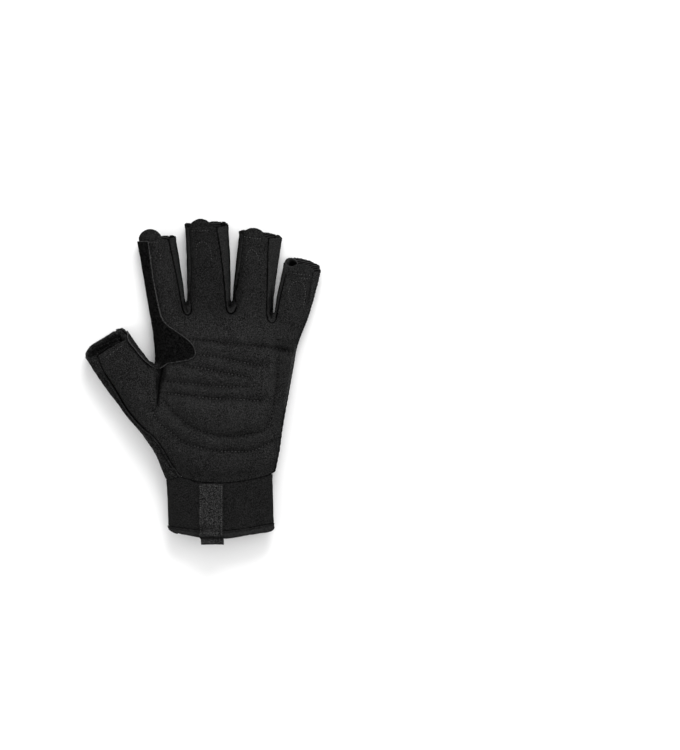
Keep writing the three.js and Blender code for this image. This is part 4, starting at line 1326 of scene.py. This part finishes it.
row_y = np.array([y for y, _ in stations])
row_z = np.array([z for _, z in stations])
run = np.concatenate([[0], np.cumsum(np.hypot(np.diff(row_y), np.diff(row_z, axis=0).mean(axis=1)))])
narrow = 1 - 0.04 * ease(run, 34.0, 36.0)
shift = 0.9 * ease(run, 33.0, 36.5)
middle = (WEBBING_LEFT + WEBBING_RIGHT) / 2
row_x = middle + np.outer(narrow, across - middle) + shift[:, None]
count, width = row_x.shape
ribbon = np.column_stack([row_x.ravel(), np.repeat(row_y, width), row_z.ravel()])
ribbon_faces = [(i * width + j, (i + 1) * width + j, (i + 1) * width + j + 1, i * width + j + 1)
                for i in range(count - 1) for j in range(width - 1)]
loop = new_piece("webbing_loop", ribbon, ribbon_faces)

x, run = ribbon[:, 0], np.repeat(run, width)
edge_gap = np.minimum(x - WEBBING_LEFT, WEBBING_RIGHT - x)
hem_shadow = 0.7 * ease(run, 25.0, 27.5) * (1 - ease(run, 30.6, 31.4))
hem_shadow *= 0.45 + 0.55 * (1 - ease(x, -11.5, -8.0))
# Painted shade along the fold.
fold_line = 1.3 * bell(run - 34.6, 0.9)
carry(loop, "along", run)
carry(loop, "across", x)
carry(loop, "pressed", np.clip(0.4 * bell(edge_gap - SELVEDGE, 0.35) + hem_shadow + fold_line, 0, 1))
apply_modifier(loop, "SOLIDIFY", thickness=WEBBING_THICK * MM, offset=0.0)
apply_modifier(loop, "BEVEL", width=0.3 * MM, segments=2, limit_method="ANGLE", angle_limit=math.radians(50))
push(loop, 0.1 * lumps(points_of(loop), 1.2) + 0.15 * lumps(points_of(loop), 5.0))
hand_over(loop, loop_webbing, "loop_webbing", "wrist_loop")
print("the webbing is", round(float(run.max()), 1), "mm long before its fold is sewn down")

# %% [markdown]
# A stitch is a short length of thread whose ends dive into the cloth. A bevelled curve would give
# the whole row at once, but a row of separate stitches catches the light one by one. One stitch is
# modelled from a small ball, stretched and bent, and its thread is plied and worn. Blender builds
# the ball's faces in a new order on each run, so they are sorted, and every run gives the same mesh.

# %% One stitch
bpy.ops.object.select_all(action="DESELECT")
bpy.ops.mesh.primitive_uv_sphere_add(segments=6, ring_count=6, radius=0.5)
stitch = bpy.context.object
bpy.ops.object.mode_set(mode="EDIT")
bpy.ops.mesh.select_all(action="SELECT")
bpy.ops.transform.rotate(value=math.radians(90), orient_axis="Y", center_override=(0, 0, 0))
bpy.ops.mesh.quads_convert_to_tris()
bpy.ops.object.mode_set(mode="OBJECT")
stitch_points = read(stitch.data.vertices, "co").astype(float)
stitch_points[:, 2] -= 1.4 * stitch_points[:, 0] ** 2
stitch_faces = np.array(sorted(tuple(p.vertices) for p in stitch.data.polygons))
bpy.data.objects.remove(stitch)
print("one stitch has", len(stitch_faces), "faces")


def thread_finish(name, lightness):
    finish = Finish(name, 0.7, 0.1)
    ply = finish.grain(0.3, 2.0)
    wear_and_highlight = finish.grain(5.0, 2.0)
    light = ply.ramp(0.3, 0.7) * 0.4 + wear_and_highlight.ramp(0.4, 0.65) * 0.6
    finish.feed(Base_Color=finish.blend(light, 0.4 * lightness, 1.9 * lightness))
    finish.relief(ply, 0.05)
    return finish.done()


black_thread = thread_finish("black_thread", 0.014)
lighter_thread = thread_finish("lighter_thread", 0.034)
pale_thread = thread_finish("pale_thread", 0.046)

# %% [markdown]
# Every row of stitches is copies of the one stitch, laid along a line where rays find the surface.
# An array on a curve would lift off the cloth where it dips. All copies of a row become one mesh,
# which is light to draw.

# %% Rows of stitches
LONGEST_STITCH = 1.6


def sewn(name, obj, lines, material, slot, pitch=NEEDLE_PITCH, length=1.45, width=0.4, rise=0.05, down=-1):
    """Stitches along lines in plan, on a piece's upper side, or on its lower side if down is 1."""
    tree = tree_of(obj)
    ray = Vector((0, 0, down))
    points = []
    faces = []
    for path in map(spline, lines):
        run = run_of(path)
        for k in range(int(run[-1] / pitch)):
            ends = []
            for mark in ((k + 0.5) * pitch - length / 2, (k + 0.5) * pitch + length / 2):
                x, y = (np.interp(mark, run, path[:, a]) for a in (0, 1))
                hit = tree.ray_cast(Vector(np.array([x, y, -down * 60.0]) * MM + drawing_zero), ray)
                if hit[0]:
                    ends.append((np.array(hit[0]) - drawing_zero, np.array(hit[1])))
            if len(ends) < 2 or np.linalg.norm(ends[1][0] - ends[0][0]) > LONGEST_STITCH * length * MM:
                continue
            ahead = (ends[1][0] - ends[0][0]) / MM
            out = ends[0][1] + ends[1][1]
            out /= np.linalg.norm(out)
            sideways = np.cross(out, ahead / np.linalg.norm(ahead))
            middle = (ends[0][0] + ends[1][0]) / 2 / MM + out * rise
            faces.append(stitch_faces + len(points) * len(stitch_points))
            points.append(middle + stitch_points @ np.array([ahead, sideways * width, out * width]))
    row = new_piece(name, np.concatenate(points), np.concatenate(faces).tolist())
    print(name, "has", len(points), "stitches")
    hand_over(row, material, slot)


# %% [markdown]
# The palm is sewn with black thread that catches a little light. Most channel rows are sewn with a
# lighter copy of it, which paints a highlight on the thread. The finger fronts carry a small arch
# of finer, paler stitches each, where the tongue's backing is sewn on.

# %% The palm's stitches
ARCHES = [
    [(-44.6, 136.0), (-44.4, 141.0), (-44.0, 145.4), (-41.6, 147.9), (-38.9, 146.0), (-37.9, 141.6)],
    [(-15.4, 143.0), (-15.4, 150.6), (-13.8, 153.0), (-11.3, 153.7), (-8.7, 152.4), (-6.8, 149.8),
     (-5.9, 146.0), (-5.8, 141.5)],
    [(16.7, 141.5), (16.9, 145.3), (18.3, 147.9), (20.3, 148.7), (22.2, 147.6), (24.1, 144.7),
     (24.9, 140.8)],
    [(44.9, 114.5), (43.6, 119.0), (43.8, 123.0), (45.8, 127.0), (49.6, 128.5), (53.0, 126.8),
     (54.2, 122.6), (53.8, 116.0), (52.6, 110.5)],
]
TONGUE_ROWS = [
    [(-49.6, 152.6), (-45.0, 153.4), (-39.0, 153.6)],
    [(-19.0, 160.6), (-12.6, 160.9), (-6.0, 161.0)],
    [(14.6, 157.2), (21.0, 156.2), (27.2, 155.4)],
    [(46.0, 133.6), (52.0, 132.9), (59.2, 132.0)],
    [(51.2, 130.5), (59.2, 130.1)],
]
THUMB_ROW = [(-73.6, 79.1), (-69.1, 82.6), (-64.6, 85.8), (-60.1, 88.7)]

sewn("channel_stitches", palm, CHANNELS[::5] + PLAIN_ROWS, black_thread, "palm_suede")
# A lighter copy of the black thread: a painted highlight on these rows.
sewn("light_channel_stitches", palm, CHANNELS[1:5] + CHANNELS[6:], lighter_thread, "palm_suede")
sewn("finger_stitches", palm, ARCHES + TONGUE_ROWS, pale_thread, "palm_suede",
     pitch=1.7, length=0.9, width=0.34, rise=0.08)
sewn("thumb_stitches", palm, [THUMB_ROW], pale_thread, "palm_suede", pitch=2.8, length=0.9, width=0.4)

# %% [markdown]
# The same thread holds the cuff's hem, the slit's binding and the webbing. On the back the rows are
# laid on the lower side of their pieces.

# %% The stitches of the cuff, the slit and the webbing
CUFF_ROW = [(-17.0, -1.2), (-8.0, -4.6), (2.0, -6.2), (14.0, -7.6)]
CROSS_STITCH_Y = -32.6
webbing_rows = [[(x, -2.0), (x, -34.0)] for x in (WEBBING_LEFT + SELVEDGE, WEBBING_RIGHT - SELVEDGE)]
webbing_rows += [[(WEBBING_LEFT + 1.0, CROSS_STITCH_Y), (WEBBING_RIGHT - 1.0, CROSS_STITCH_Y)]]
behind = {"pitch": 1.9, "length": 1.3, "width": 0.36, "down": 1}

sewn("hem_stitches_behind", hem, [HEM_STITCH], black_thread, "binding_tape", **behind)
sewn("slit_stitches", slit, SLIT_ROWS, black_thread, "binding_tape", **behind)
sewn("cuff_stitches", cuff, [CUFF_ROW], lighter_thread, "cuff_neoprene", **behind)
sewn("webbing_stitches", loop, webbing_rows, pale_thread, "loop_webbing", pitch=1.5, length=1.0, width=0.4)

# %% [markdown]
# The floor is plain and pale, and the light is soft and comes mostly from beyond the finger tips,
# which is what draws the pads and channels. Two low strips of light graze the glove's sides.

# %% Floor and lights
FLOOR_SIZE = 3.0

bpy.ops.object.select_all(action="DESELECT")
bpy.ops.mesh.primitive_plane_add(size=FLOOR_SIZE, location=(*VIEW_CENTRE, 0))
floor = bpy.context.object
floor.name = "floor"
floor_finish = Finish("pale_floor", 0.9, 0.1)
floor_finish.feed(Base_Color=floor_finish.blend(floor_finish.grain(40.0), 0.94, 0.96))
floor.data.materials.append(floor_finish.done())
floor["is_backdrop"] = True

world = bpy.data.worlds.new("studio")
world.use_nodes = True
world.node_tree.nodes["Background"].inputs["Color"].default_value = (1.0, 1.0, 1.0, 1.0)
world.node_tree.nodes["Background"].inputs["Strength"].default_value = 0.95
bpy.context.scene.world = world
bpy.context.scene.view_settings.view_transform = "Standard"


def softbox(name, place, width, height, watts):
    """A flat light at a place, turned towards the glove."""
    data = bpy.data.lights.new(name, "AREA")
    data.shape = "RECTANGLE"
    data.size = width
    data.size_y = height
    data.energy = watts
    light = put(name, data)
    light.location = place
    light.rotation_euler = (-Vector(place)).to_track_quat("-Z", "Y").to_euler()
    print("the", name, "light is", round(Vector(place).length, 2), "m away, with", watts, "W")


softbox("key", (0.20, 1.1, 0.9), 0.7, 0.7, 12)
softbox("right_strip", (1.0, 0.1, 0.35), 0.3, 1.0, 2)
softbox("left_strip", (-1.0, -0.2, 0.35), 0.3, 1.0, 2)

# %% [markdown]
# Cloth may stand a little proud of the frame. The dressed glove's size over all is printed.

# %% The size of the dressed glove
low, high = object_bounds()
print("the dressed glove is", [round(1000 * s, 1) for s in high - low], "mm over all")
